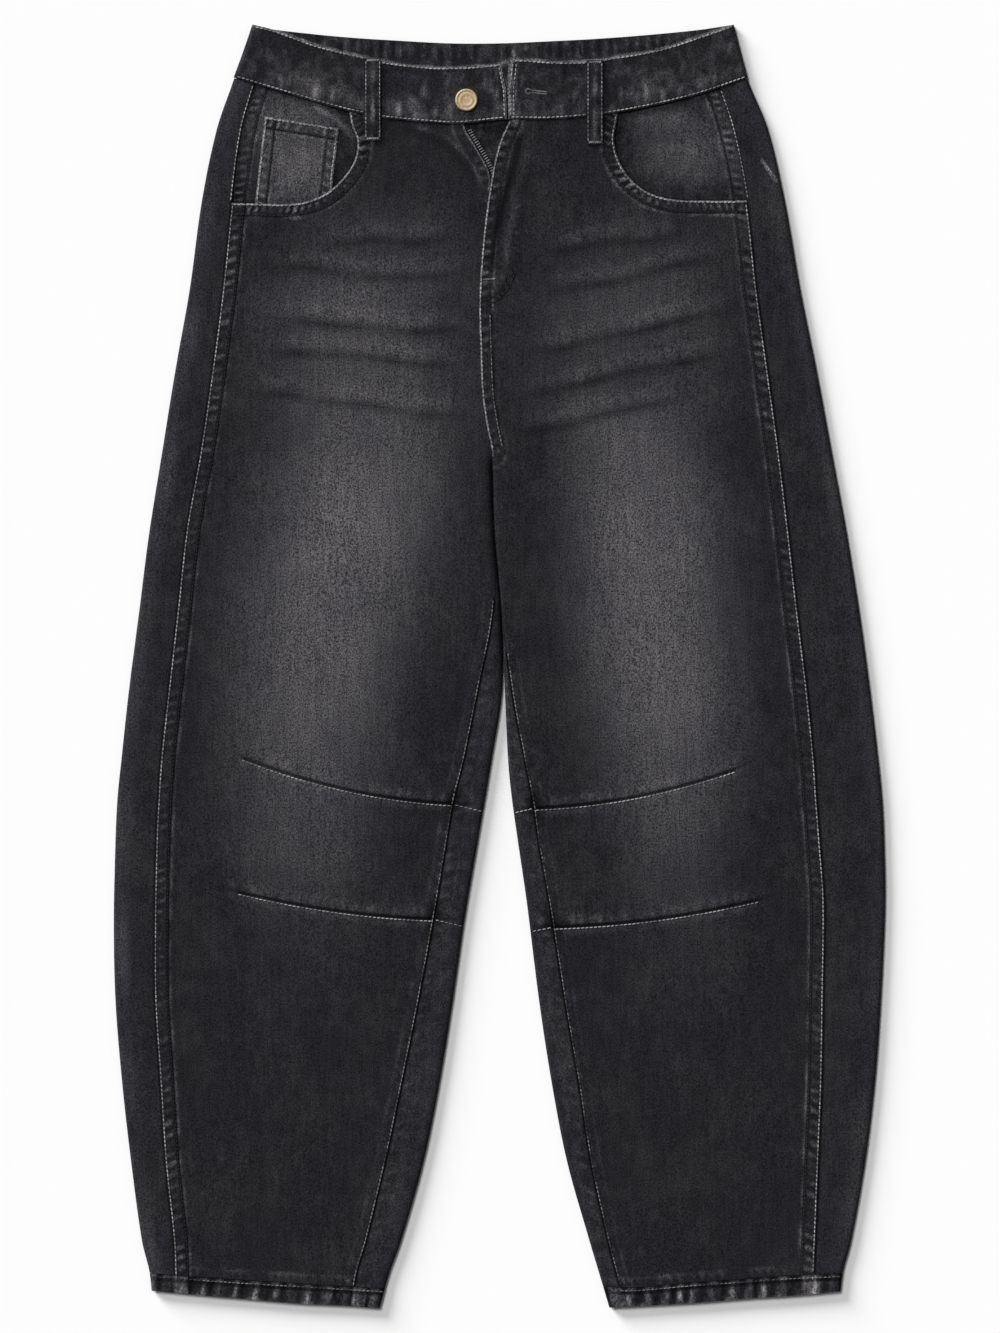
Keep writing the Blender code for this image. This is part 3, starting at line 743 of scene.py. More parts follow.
class Socket:
    """A shader socket that can be added, multiplied and compared in Python."""

    __add__ = __radd__ = operator("ADD")
    __sub__ = operator("SUBTRACT")
    __rsub__ = operator("SUBTRACT", swapped=True)
    __mul__ = __rmul__ = operator("MULTIPLY")
    clamped = operator("ADD", clamp=True)
    at_least = operator("MAXIMUM")
    at_most = operator("MINIMUM")

    def __init__(self, nodes: "Nodes", socket: bpy.types.NodeSocket) -> None:
        """Keep the socket and the node tree it belongs to."""
        self.nodes = nodes
        self.socket = socket

    def above(self, low: float, high: float) -> "Socket":
        """A smooth step from 0 at low to 1 at high."""
        inputs = {"Value": self, "From Min": low, "From Max": high}
        return self.nodes.add("MapRange", {"interpolation_type": "SMOOTHSTEP"}, inputs)


class Nodes:
    """Builds one material's node tree."""

    def __init__(self, name: str) -> None:
        """Make the material and keep its shader."""
        self.material = bpy.data.materials.new(name)
        self.material.use_nodes = True
        self.tree = self.material.node_tree
        self.shader = self.tree.nodes["Principled BSDF"]

    def add(self, kind: str, settings: dict, inputs: dict, output: int | str = 0) -> Socket:
        """Add one node.

        Args:
            kind: the node's type, without the word before it.
            settings: its properties, which are set first.
            inputs: values or sockets by input name or number.
            output: the output that is wanted.

        Returns:
            That output, wrapped.
        """
        node = self.tree.nodes.new("ShaderNode" + kind)
        for name, value in settings.items():
            setattr(node, name, value)
        for name, value in inputs.items():
            self.put(node.inputs[name], value)
        return Socket(self, node.outputs[output])

    def put(self, into: bpy.types.NodeSocket, value: object) -> None:
        """Set an input to a value, or link it to a socket."""
        if isinstance(value, Socket):
            self.tree.links.new(value.socket, into)
        else:
            into.default_value = value

    def read(self, name: str) -> Socket:
        """A value that the mesh carries."""
        settings = {"attribute_type": "GEOMETRY", "attribute_name": name}
        return self.add("Attribute", settings, {}, "Fac")

    def noise(self, scale: Sequence[float], detail: float = 2.0, turn: float = 0.0) -> Socket:
        """Noise over the object's own place.

        Args:
            scale: how many features a millimetre holds along x, y and z.
            detail: octaves of finer noise.
            turn: rotation about z in radians.

        Returns:
            The noise, about 0.5 in the middle.
        """
        place = self.add("TexCoord", {}, {}, "Object")
        scale = [value / MM for value in scale]
        inputs = {"Vector": place, "Rotation": (0, 0, turn), "Scale": scale}
        place = self.add("Mapping", {}, inputs)
        return self.add("TexNoise", {}, {"Vector": place, "Scale": 1.0, "Detail": detail})

    def blend(self, a: object, b: object, share: object) -> Socket:
        """The colour a share of the way from a to b."""
        return self.add("Mix", {"data_type": "RGBA"}, {0: share, 6: a, 7: b}, 2)

    def bump(self, height: Socket, distance: float, strength: float = 1.0) -> None:
        """Feed the shader's normal from a height in millimetres."""
        inputs = {"Height": height, "Distance": distance * MM, "Strength": strength}
        self.put(self.shader.inputs["Normal"], self.add("Bump", {}, inputs))

    def set(self, **values: object) -> None:
        """Set the shader's inputs by name, with underscores for spaces."""
        for name, value in values.items():
            self.put(self.shader.inputs[name.replace("_", " ")], value)


def grey(level: float, tint: Sequence[float] = (1.0, 1.0, 1.0)) -> tuple:
    """An opaque colour from a level and a tint."""
    return (*(level * value for value in tint), 1.0)


@dataclass(frozen=True)
class DenimFinish:
    """Washed black twill: dark yarn, pale where it is sanded, with worn seams and painted shade in
    its grooves and troughs.

    Attributes:
        name: the material's name.
        dark: reflectance of the unworn cloth.
        pale: reflectance where it is sanded.
        lift: paleness that is everywhere.
        mottle: how patchy the wash is.
        grain: contrast of the twill's specks.
    """

    name: str
    dark: float = 0.0138
    pale: float = 0.071
    lift: float = 0.0
    mottle: float = 0.32
    grain: float = 4.8

    def material(self) -> Material:
        """Build the cloth's shader from what the mesh carries and fine noise."""
        nodes = Nodes(self.name)
        fade, wear_and_shade, edge, shaded_groove = map(nodes.read, ("fade", "wear_and_shade", "edge", "shaded_groove"))
        specks = nodes.noise((1.0, 0.8, 0.6), 2.5) - 0.5
        twill = nodes.noise((1.5, 0.4, 0.6), 1.0, 0.55) - 0.5
        slub = nodes.noise((0.5, 0.045, 0.1), 2.0) - 0.5
        cloud = nodes.noise((0.022, 0.016, 0.02), 3.0) - 0.5
        blot = nodes.noise((0.12, 0.095, 0.1), 3.0) - 0.5
        grain = specks * self.grain + twill + slub * 1.0
        level = fade + self.lift + cloud * (fade * 0.5 + 0.25) + blot * self.mottle
        level = level + wear_and_shade.at_least(0.0) * (blot * 2.4 + 0.85)
        rub = (1 - edge.above(0.4, 2.1)) * (1.5 + blot * 3.0 + specks * 2)
        level = level.at_least(0.0) + rub.at_least(0.0)
        value = level * (self.pale - self.dark) + self.dark
        contrast = level.clamped() * 0.3 + 0.72
        value = value * (1 + grain * contrast).at_least(0.25)
        # Painted shade along sunk lines: seam gaps, second rows, dart lines, slits and hem rows.
        groove_shade = (1 - shaded_groove.above(0.35, 1.8)) * 0.66
        # Where the mesh's wear value is below 0 it darkens the colour as painted shade.
        value = value * (1 + wear_and_shade.at_most(0.0) * 0.7).at_least(0.3) * (1 - groove_shade)
        tint = nodes.blend(grey(1.0, (1.0, 0.957, 1.17)), grey(1.0, (1.0, 0.957, 1.02)),
                           (level + cloud * 2.2 + 0.14).clamped())
        nodes.set(Base_Color=nodes.blend(grey(0.0), tint, value), Roughness=0.94)
        nodes.set(Specular_IOR_Level=0.08)
        nodes.bump(specks + twill, 0.16)
        return nodes.material


@dataclass(frozen=True)
class ThreadFinish:
    """Spun sewing thread, worn unevenly along each row.

    Attributes:
        name: the material's name.
        level: reflectance of the thread.
        worn: reflectance where it is rubbed or dyed over.
    """

    name: str
    level: float
    worn: float

    def material(self) -> Material:
        """Build the thread's shader."""
        nodes = Nodes(self.name)
        rubbed = nodes.noise((0.09, 0.09, 0.09), 3.0).above(0.4, 0.6)
        fibre = nodes.noise((2.2, 2.2, 2.2), 2.0)
        tint = (1.0, 0.985, 0.97)
        colour = nodes.blend(grey(self.worn, tint), grey(self.level, tint), rubbed)
        colour = nodes.blend(colour, grey(self.worn, tint), fibre * 0.35)
        nodes.set(Base_Color=colour, Roughness=0.75, Specular_IOR_Level=0.3)
        nodes.bump(fibre, 0.12)
        return nodes.material


@dataclass(frozen=True)
class MetalFinish:
    """Plain metal with a fine hammered grain.

    Attributes:
        name: the material's name.
        colour: the clean metal.
        tarnish: the metal in its hollows.
        roughness: the mean roughness.
        grain: size of the hammer marks.
    """

    name: str
    colour: tuple[float, float, float]
    tarnish: tuple[float, float, float]
    roughness: float = 0.55
    grain: float = 1.3

    def material(self) -> Material:
        """Build the metal's shader."""
        nodes = Nodes(self.name)
        size = 1 / self.grain
        marks = nodes.noise((size, size, size), 2.0)
        colour = nodes.blend((*self.tarnish, 1), (*self.colour, 1), marks.above(0.36, 0.56))
        nodes.set(Base_Color=colour, Metallic=0.35, Roughness=marks * 0.2 + self.roughness - 0.1)
        nodes.bump(marks, 0.14)
        return nodes.material


class Finishes:
    """Every material of the trousers, made once and shared by name."""

    def __init__(self) -> None:
        """Make the finishes."""
        cloths = (
            DenimFinish("denim_front"),
            DenimFinish("denim_back", lift=0.04),
            DenimFinish("denim_waistband", lift=0.03, mottle=1.5),
            DenimFinish("denim_pocket", lift=0.05, mottle=0.8),
            DenimFinish("denim_hem", lift=0.04, mottle=0.6),
            DenimFinish("denim_inside", dark=0.011, lift=0.03, mottle=1.6),
            DenimFinish("zip", dark=0.012),
        )
        self.cloth = {finish.name: finish.material() for finish in cloths}
        threads = (
            ThreadFinish("thread_light", 0.36, 0.12), ThreadFinish("thread_dim", 0.27, 0.08),
            ThreadFinish("thread_faint", 0.2, 0.022), ThreadFinish("thread_dark", 0.007, 0.014),
        )
        self.thread = {finish.name: finish.material() for finish in threads}
        brass = (0.46, 0.36, 0.205), (0.34, 0.265, 0.15)
        zinc = (0.15, 0.15, 0.155), (0.05, 0.05, 0.053)
        self.brass = MetalFinish("button_brass", *brass).material()
        self.teeth = MetalFinish("zip_metal", *zinc).material()


class Wardrobe:
    """The finishes, and the upper surface of the cloth that is already laid."""

    START = 60.0

    def __init__(self) -> None:
        """Make the finishes and start with no cloth."""
        self.finishes = Finishes()
        self.trees: list[BVHTree] = []

    def drop(self, x: float, down: float) -> tuple[Vector, Vector]:
        """The highest point of the cloth over a place, and its normal there."""
        start = Vector((x, LENGTH / 2 - down, self.START))
        best, facing = Vector((start.x, start.y, 0.0)), Vector((0, 0, 1))
        for tree in self.trees:
            hit, normal, _, _ = tree.ray_cast(start, Vector((0, 0, -1)))
            if hit is not None and hit.z > best.z:
                best, facing = hit, normal if normal.z > 0 else -normal
        return best, facing

    def dress(self, thing: Object, slot: str, material: Material, *nodes: str) -> None:
        """Give a piece its material and body, and hide the nodes that it stands for.

        Args:
            thing: the finished piece.
            slot: not used.
            material: the material it wears.
            nodes: the frame's nodes that it replaces.
        """
        thing.data.materials.clear()
        thing.data.materials.append(material)
        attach(thing, "root")
        if nodes:
            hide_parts(*nodes)
        log.info("%s: %d faces", thing.name, len(thing.data.polygons))

    def dress_cloth(self, thing: Object, slot: str, node: str) -> None:
        """Dress a piece of cloth and lay it down for what is sewn or set on it."""
        self.dress(thing, slot, self.finishes.cloth[slot], node)
        points = [vert.co / MM for vert in thing.data.vertices]
        faces = [tuple(face.vertices) for face in thing.data.polygons]
        self.trees.append(BVHTree.FromPolygons(points, faces))


def spread(start: Array, end: Array, near: Sequence[float], steps: int) -> Array:
    """Places from start to end that crowd together at both ends.

    Args:
        start: first place of each row.
        end: last place of each row.
        near: distances from an end that get a place of their own, from 0 up.
        steps: the number of even steps between the two crowded ends.

    Returns:
        The places, by column and row.
    """
    near = np.asarray(near)[:, None]
    share = np.linspace(0, 1, steps + 1)[1:-1, None]
    middle = mix(start + near[-1], end - near[-1], share)
    return np.concatenate([start + near, middle, (end - near)[::-1]])


@dataclass
class Leg:
    """One leg: its front and back panels and what is sewn along them.

    Attributes:
        side: the wearer's side.
        wardrobe: the finishes and the laid cloth.
        row_step: distance between two rows of the panels.
        column_steps: columns across the middle of a front.
        under_steps: columns across the hidden underside.
    """

    side: Side
    wardrobe: Wardrobe
    row_step: float = 2.4
    column_steps: int = 62
    under_steps: int = 18

    def __post_init__(self) -> None:
        """Lay out the seams, darts and puckered strips."""
        sign = self.side.value
        upper, lower = DARTS[sign]
        self.outseam = seam_line(sign, Section.outseam, 45, HEM_ROW + 6)
        self.inseam = seam_line(sign, Section.front_end, INSEAM_START[sign], HEM_ROW + 10)
        self.mouth = Line.through(MOUTHS[sign])
        self.tilt = (
            (WAIST_ROW, 0), (90, 0), *((crease.down, crease.rise) for crease in CREASES[sign]),
            (410, 0), (HEM_ROW, 0),
        )
        self.bow = (
            (WAIST_ROW, 0), (400, 0), (500, 0.5 * upper.rise), (upper.down, upper.rise),
            (lower.down, lower.rise), (780, 0.3 * lower.rise), (880, 0), (HEM_ROW, 0),
        )
        front = Trim(
            strips=[
                Strip(self.outseam, -sign, 10.0, 0.5, 0.36, 8.2, 1.1, 2 + sign, (290, 860)),
                Strip(self.inseam, sign, 5.5, 0.25, 0.22, 9.5, 0.45, 7 + sign),
                Strip(self.mouth, -sign, 8.6, 0.45, 0.42, 5.9, 2.0, 11 + sign),
                Strip(Line.through(HEM_SEAM[sign]), 1, 3.5, 0.0, 0.3, 7.0, 1.7, 29 + sign),
            ],
            edges=[self.mouth],
            # Painted shade along the outseam's second row, the inseam and inside the pocket mouth.
            shaded_grooves=[
                self.outseam.beside(-sign * 10.3), self.inseam, self.mouth.beside(-sign * 8.9),
            ],
        )
        if self.side is Side.LEFT:
            self.add_fly(front)
        else:
            edge = edge_line(zip_edge, 76, 128, 22)
            front.edges.append(edge)
            front.strips.append(Strip(edge, -1, 7.0, 0.15, 0.25, 7.6, 0.7, 33))
        # Painted shade along the knee darts' lines.
        front.shaded_grooves += [self.dart_line(dart, -1.2) for dart in DARTS[sign]]
        back = Trim(
            strips=[Strip(self.inseam, -sign, 9.0, 0.2, 0.24, 10.0, 0.3, 17 + sign)],
            edges=[Line.through(scratch) for scratch in SCRATCHES[sign]],
            # Painted shade along the seam gaps.
            shaded_grooves=[self.outseam, self.inseam],
        )
        self.trims = (back, front)

    @staticmethod
    def add_fly(trim: Trim) -> None:
        """Add the fly's free edge and its curved stitching to the left front."""
        edge = edge_line(fly_edge, FLY_TOP, CROTCH - 12, 90)
        trim.strips.append(Strip(edge, 1, 8.5, 0.3, 0.36, 8.6, 1.5, 23, (185, 420)))
        trim.strips.append(Strip(Fly.curve(0.0), -1, 5.5, 0.15, 0.3, 6.5, 0.9, 27))
        trim.edges.append(edge)
        # Painted shade along the fly's second row and the lower curved rows.
        trim.shaded_grooves += [edge.part(150, edge.length).beside(10.4), *Fly.low_curves()]

    def at_dart(self, dart: Dart) -> tuple[float, ...]:
        """The leg's inner edge, outer edge and inner strip at the height of a dart."""
        section = Section(self.side.value, np.array([float(dart.down)]))
        return tuple(float(row[0]) for row in (section.inner, section.outer, section.inner_strip))

    def seam_share(self, dart: Dart) -> float:
        """Share of the way across the leg at which a dart meets the inseam."""
        inner, outer, strip = self.at_dart(dart)
        return strip / abs(outer - inner)

    def dart_line(self, dart: Dart, shift: float = 0.0) -> Line:
        """The line of one knee dart from the inseam to its point, moved down by shift."""
        inner, outer, _ = self.at_dart(dart)
        across = np.linspace(self.seam_share(dart) + 0.004, dart.sewn, 60)
        return Line(mix(inner, outer, across), dart.down - dart.rise * across**2 + shift)

    @staticmethod
    def below_waist(x: Array, down: Array) -> Array:
        """Whether places lie below the waistband's seam."""
        return down > smooth(FRONT_SEAM, x) + 1.8

    def on_front(self, x: Array, down: Array) -> Array:
        """Whether places lie on the front panel, inside the outseam and the waist seam."""
        seam = Section(self.side.value, down).seam(Section.outseam)
        return (np.abs(x) < np.abs(seam) - 0.8) & self.below_waist(x, down)

    def rows(self) -> Array:
        """Heights of the panels' rows, close together at the darts."""
        rows = list(np.arange(WAIST_ROW, HEM_ROW, self.row_step))
        for dart in DARTS[self.side.value]:
            rows = [row for row in rows if abs(row - dart.down) > 11]
            rows += [dart.down + sign * step for step in DART_STEPS for sign in (-1, 1)]
            rows.append(dart.down)
        return np.array(sorted(rows) + [HEM_ROW])

    def row_down(self, row: Array, across: Array, x: Array, upward: Array) -> Array:
        """Real height of a row, which follows the waist, the darts and the hem."""
        waist = mix(straight(BACK_SEAM, x), smooth(FRONT_SEAM, x), upward) + SEAM_GAP
        down = row + (1 - ease((row - WAIST_ROW) / 110)) * (waist - WAIST_ROW)
        hem = hem_seam(self.side.value, x, upward) - GAP / 2
        down = down + ease((row - HEM_ROW + 90) / 90) * (hem - HEM_ROW)
        return down - straight(self.tilt, row) * across - straight(self.bow, row) * across**2

    def dart_effect(self, across: Array, down: Array) -> Pair:
        """The rise, and the wear and painted shade, that the knee darts bring."""
        rise, wear_and_shade = np.zeros(down.shape), np.zeros(down.shape)
        for i, dart in enumerate(DARTS[self.side.value]):
            below = down - (dart.down - dart.rise * across**2)
            fade = ease((dart.reach + 0.03 - across) / DART_FADE)
            uneven = 0.75 + 0.25 * ripple(across * 300, 0 * across, 60, 31 + i)
            ridges = bell(below - 5, 4.5) + 0.8 * bell(below + 8, 7)
            folds = np.maximum(np.sin(across * 300 / 1.6 + 2 * np.sin(across * 30 + i)), 0)
            knot = bell((across - self.seam_share(dart)) * 300, 6) * bell(below + 3, 9)
            pinch = bell(below + 5, 3.6) * folds * (1.2 - across) * (1 - knot)
            shaded_groove = bell(below + 0.4, 1.3)
            rise += (DART_RIDGE * ridges + 0.2 * pinch - DART_DEPTH * shaded_groove) * fade * uneven
            # The dart's sunk line is painted dark as shade; the banks and the pinch beside it are
            # worn pale.
            wear_and_shade += (0.2 * bell(below + 6, 4) * uneven + 0.5 * pinch - 0.55 * shaded_groove) * fade
            wear_and_shade += 0.22 * bell(below - 3.5, 2.5) * fade * uneven - 1.7 * knot
        return rise, wear_and_shade

    def crease_effect(self, across: Array, down: Array) -> Pair:
        """The rise of the creases over the top of the thigh, with paler crests and darker troughs.
        """
        rise, wear_and_shade = np.zeros(down.shape), np.zeros(down.shape)
        for i, crease in enumerate(CREASES[self.side.value]):
            wander = 2.2 * ripple(across * 250, 0 * across, 90, 41 + i)
            below = down - (crease.down - crease.rise * across) + wander
            fade = ease((across - crease.start) / 0.16) * ease((crease.end - across) / 0.2)
            uneven = 0.8 + 0.25 * ripple(across * 250, 0 * across, 55, 51 + i)
            trough = bell(np.minimum(below, 0), 2.2) * bell(np.maximum(below, 0), 5) * fade * uneven
            crest = bell(below + 9, 5.5) * fade * uneven
            rise += 0.3 * crest - CREASE_DEPTH * trough
            wear_and_shade += 0.24 * crest - 0.72 * trough
        return rise, wear_and_shade

    def relief(self, x: Array, down: Array, front: bool) -> Pair:
        """Everything that raises, wears or paints shade on the upper face of a panel.

        Args:
            x, down: the places.
            front: whether it is the front panel.

        Returns:
            The rise in millimetres and the wear with painted shade, which leaves out the strips'
            own.
        """
        sign = self.side.value
        section = Section(sign, down)
        across = section.across(x)
        rise, _ = self.trims[front].effect(x, down)
        wear_and_shade = np.zeros(x.shape)
        inside = ease(across / 0.06) * ease((1 - across) / 0.05)
        for effect in (self.dart_effect, self.crease_effect)[: 1 + front]:
            more_rise, more_wear_and_shade = effect(across, down)
            rise, wear_and_shade = rise + more_rise * inside, wear_and_shade + more_wear_and_shade * inside
        rise = rise + 0.22 * ripple(x, down * 0.6, 85, 61 + sign) * inside
        if self.side is Side.RIGHT:
            # Painted shadow that the left leg, lapped over it, casts along this leg's inner edge.
            lap_shadow = ease((down - 322) / 20) * ease((540 - down) / 60)
            wear_and_shade = wear_and_shade - 1.1 * bell(x - section.inner, 5.0) * lap_shadow
        if front:
            shape = Fly.placket if self.side is Side.LEFT else Fly.drag
            more_rise, more_wear_and_shade = shape(x, down)
            rise, wear_and_shade = rise + more_rise, wear_and_shade + more_wear_and_shade
        return rise, wear_and_shade

    def fade(self, x: Array, down: Array) -> Array:
        """How far the leg is sanded pale at each place."""
        rows = FADES[self.side.value]
        middle, reach, strength = (smooth(rows, down, i) for i in (1, 2, 3))
        past = ease((down - rows[0][0] + 30) / 50) * ease((rows[-1][0] + 40 - down) / 60)
        inward = mix(1.2, 0.92, ease((down - 285) / 60))
        reach = reach * np.where(np.abs(x) < np.abs(middle), inward, 1.0)
        return strength * np.exp(-(np.abs((x - middle) / reach) ** 2.4)) * past

    def panel(self, name: str, front: bool) -> Object:
        """Build the wall of the front or the back panel."""
        levels = self.rows()[None, ::-1]
        faces = []
        for lift in (CLOTH / 2, -CLOTH / 2):
            down, shares = levels, None
            for _ in range(4):
                section = Section(self.side.value, down)
                if shares is None:
                    shares = self.front_shares(section) if front else self.back_shares(section)
                start, end = self.ends(section, front)
                x, z, upward = section.point(start + shares * (end - start), lift)
                down = self.row_down(levels, section.across(x), x, upward)
            rise, _ = self.relief(x, down, front)
            faces.append(in_frame(x, down, z + rise * upward))
        return wall(name, *faces)

    @staticmethod
    def ends(section: Section, front: bool) -> Pair:
        """First and last place of a panel's columns; the front's run inwards."""
        if front:
            return section.outseam() + GAP / 2, section.front_end()
        return section.back_start(), section.outseam() - GAP / 2

    def front_shares(self, section: Section) -> Array:
        """Share of the way across the front of each column, crowded at both edges."""
        near = (0, 0.7, 1.5, 2.5, 4, 5.5, 7, 8.5, 9.6, 10.6, 12, 14)
        start, end = self.ends(section, True)
        return (spread(start, end, near, self.column_steps) - start) / (end - start)

    def back_shares(self, section: Section) -> Array:
        """Share of the way across the back of each column, crowded at both folds."""
        start, end = self.ends(section, False)
        turned = section.width + 2 * QUARTER
        stops = (start, 0 * start - 2 * QUARTER, 0 * start, section.width, turned, end)
        counts = (10, 7, self.under_steps, 7, 16)
        parts = [
            mix(first, last, np.linspace(0, 1, count)[:-1, None])
            for first, last, count in zip(stops, stops[1:], counts)
        ]
        steps = np.maximum(np.diff(np.concatenate([*parts, end]), axis=0), 0.05)
        table = np.concatenate([0 * start, np.cumsum(steps, axis=0)])
        return table / table[-1:]

    def cut_mouth(self, panel: Object) -> None:
        """Cut the pocket mouth out of the front panel."""
        mesh = bmesh.new()
        points = in_frame(*cut_outline(self.mouth).T, FRONT_UNDER / 2) * MM
        face = mesh.faces.new([mesh.verts.new(point) for point in points])
        made = bmesh.ops.extrude_face_region(mesh, geom=[face])["geom"]
        raised = [item for item in made if isinstance(item, bmesh.types.BMVert)]
        bmesh.ops.translate(mesh, verts=raised, vec=(0, 0, 3 * FRONT_UNDER * MM))
        bmesh.ops.recalc_face_normals(mesh, faces=mesh.faces)
        cutter = link(panel.name + "_cutter", mesh)
        cut = panel.modifiers.new("pocket mouth", "BOOLEAN")
        cut.operation = "DIFFERENCE"
        cut.solver = "EXACT"
        cut.object = cutter
        graph = bpy.context.evaluated_depsgraph_get()
        data = bpy.data.meshes.new_from_object(panel.evaluated_get(graph))
        panel.modifiers.clear()
        panel.data = data
        bpy.data.objects.remove(cutter, do_unlink=True)

    def build(self) -> None:
        """Build and dress both panels."""
        panels = []
        for kind, front in (("back", False), ("front", True)):
            node = f"{kind}_{self.side.word}"
            panel = self.panel("cloth_" + node, front)
            if front:
                self.cut_mouth(panel)
            self.finish(panel, front)
            self.wardrobe.dress_cloth(panel, "denim_" + kind, node)
            panels.append(panel)
        back, front = panels

    def finish(self, panel: Object, front: bool) -> None:
        """Write the fade, the wear, a painted highlight and painted shade on a panel."""
        x, down, z = places(panel)
        _, wear_and_shade = self.relief(x, down, front)
        upper = ease((z - 1.6) / 2.0)
        rim_highlight_and_wear = 0.0
        if not front:
            section = Section(self.side.value, down)
            # A painted highlight along the outer fold, stronger on the right leg, which faces the
            # lamps; worn pale spots near the inner edge.
            highlight_strength = 0.3 if self.side is Side.RIGHT else 0.14
            near = bell(np.abs(x - section.outer) - 6, 6) * (0.8 + 0.4 * ripple(x, down, 90, 63))
            gap = np.abs(x - section.inner)
            spots = np.maximum(0.7 + 0.8 * ripple(x, down, 13, 65), 0)
            rim_highlight_and_wear = highlight_strength * near + 0.09 * spots * ease((gap - 2) / 4) * (gap < 34)
        fade = (self.fade(x, down) + rim_highlight_and_wear) * upper + 0.02
        mark(panel, self.trims[front], fade, wear_and_shade * upper)


class Fly:
    """Shapes of the fly that several pieces share."""

    @staticmethod
    def curve(shift: float) -> Line:
        """The curved row that ends the placket, moved sideways by shift."""
        width = PLACKET_WIDTH + shift
        down = PLACKET_STRAIGHT + (PLACKET_END + shift * 0.7 - PLACKET_STRAIGHT) * np.sin(
            np.linspace(0, math.pi / 2, 30)
        )
        turn = (down - PLACKET_STRAIGHT) / (down[-1] - PLACKET_STRAIGHT)
        x = fly_edge(down) + width * np.sqrt(np.maximum(1 - turn**2, 0))
        top = np.linspace(148, PLACKET_STRAIGHT, 12)[:-1]
        x = np.concatenate([fly_edge(top) + width, x])
        return Line(x, np.concatenate([top, down]))

    @staticmethod
    def low_curves() -> list[Line]:
        """The lower ends of the two curved rows, where they are dark."""
        curves = (Fly.curve(shift) for shift in (0.0, -5.5))
        return [curve.kept(lambda x, down: down > FLY_CURVE_TOP) for curve in curves]

    @staticmethod
    def placket(x: Array, down: Array) -> Pair:
        """The rise, and the wear and painted shade, of the placket and the soft fold across it."""
        turn = np.maximum(down - PLACKET_STRAIGHT, 0) / (PLACKET_END - PLACKET_STRAIGHT)
        width = PLACKET_WIDTH * np.sqrt(np.maximum(1 - turn * turn, 0))
        rise = PLACKET_RISE * ease((width + 1.5 - (x - fly_edge(down))) / 4) * (turn < 1)
        fold = Line.through(FLY_FOLD)
        _, off = fold.near(x, down)
        ends = ease((down - 80) / 14) * ease((196 - down) / 16)
        trough = bell(off, 3.0) * ends
        bank = bell(off - 7.5, 4.0) * ends
        # The fold's trough is painted dark as shade; its bank is worn a little pale.
        return rise + 0.35 * bank - 0.75 * trough, 0.12 * bank - 0.95 * trough

    @staticmethod
    def drag(x: Array, down: Array) -> Pair:
        """The rise, the pale worn crest and the painted shade of the fold that the open zip pulls
        in the right front.
        """
        fold = Line.through(DRAG_FOLD)
        along, off = fold.near(x, down)
        ends = ease(along / 14) * ease((fold.length - along) / 12)
        uneven = np.clip(0.7 + 0.7 * ripple(along, 0 * along, 15, 105), 0, 1.4)
        crest = bell(off, 1.9) * ends * uneven
        trough = bell(off + 5.5, 3.2) * ends
        # The crest is worn pale; the trough under it is painted dark as shade.
        return 0.3 * crest - 0.25 * trough, 0.42 * crest - 0.4 * trough


@dataclass
class Stitches:
    """One row of topstitching.

    Attributes:
        line: where the row runs.
        pitch: distance between two stitches.
        length: length of a stitch.
        width: width of the thread.
        slant: turn of each stitch from the row, in radians.
    """

    line: Line
    pitch: float = LIGHT_STITCH[0]
    length: float = LIGHT_STITCH[1]
    width: float = LIGHT_STITCH[2]
    slant: float = 0.1


@dataclass
class Sewing:
    """Rows of stitches in one thread, joined into one piece.

    Attributes:
        name: the piece's name.
        rows: the rows.
        material: the thread's finish.
        flatness: height of a stitch as a share of its width.
    """

    name: str
    rows: list[Stitches]
    material: Material
    flatness: float = 0.7

    def stitch(self) -> bpy.types.Mesh:
        """One stitch: a rounded thread of unit length, width and height."""
        mesh = bmesh.new()
        bmesh.ops.create_uvsphere(mesh, u_segments=6, v_segments=5, radius=0.5)
        bmesh.ops.rotate(mesh, verts=mesh.verts, matrix=Matrix.Rotation(math.pi / 2, 3, "Y"))
        return model_of("stitch", mesh)

    def build(self, wardrobe: Wardrobe) -> None:
        """Sew every row onto the laid cloth and dress the piece."""
        chance = random.Random(len(self.name))
        model = self.stitch()
        mesh = bmesh.new()
        for row in self.rows:
            count = max(int(row.line.length / row.pitch), 1)
            for i in range(count):
                run = (i + 0.5) * row.line.length / count
                stamp(mesh, model, *self.place(row, run, wardrobe, chance))
        bpy.data.meshes.remove(model)
        wardrobe.dress(link(self.name, mesh, 180), "thread", self.material)

    def place(self, row: Stitches, run: float, laid: Wardrobe, chance: random.Random) -> tuple:
        """The middle and the three scaled axes of the stitch at one place of its row."""
        reach = row.length / 2
        ahead, behind = (row.line.at(run + step) for step in (reach, -reach))
        x, down = row.line.at(run)
        point, normal = laid.drop(float(x), float(down))
        way = Vector((ahead[0] - behind[0], behind[1] - ahead[1], 0.0))
        way.rotate(Matrix.Rotation(row.slant + chance.uniform(-0.06, 0.06), 3, "Z"))
        way = (way - normal * way.dot(normal)).normalized()
        across = normal.cross(way)
        length = row.length * chance.uniform(0.93, 1.05)
        axes = (way * length, across * row.width, normal * row.width * self.flatness)
        return point + normal * row.width * 0.12, axes


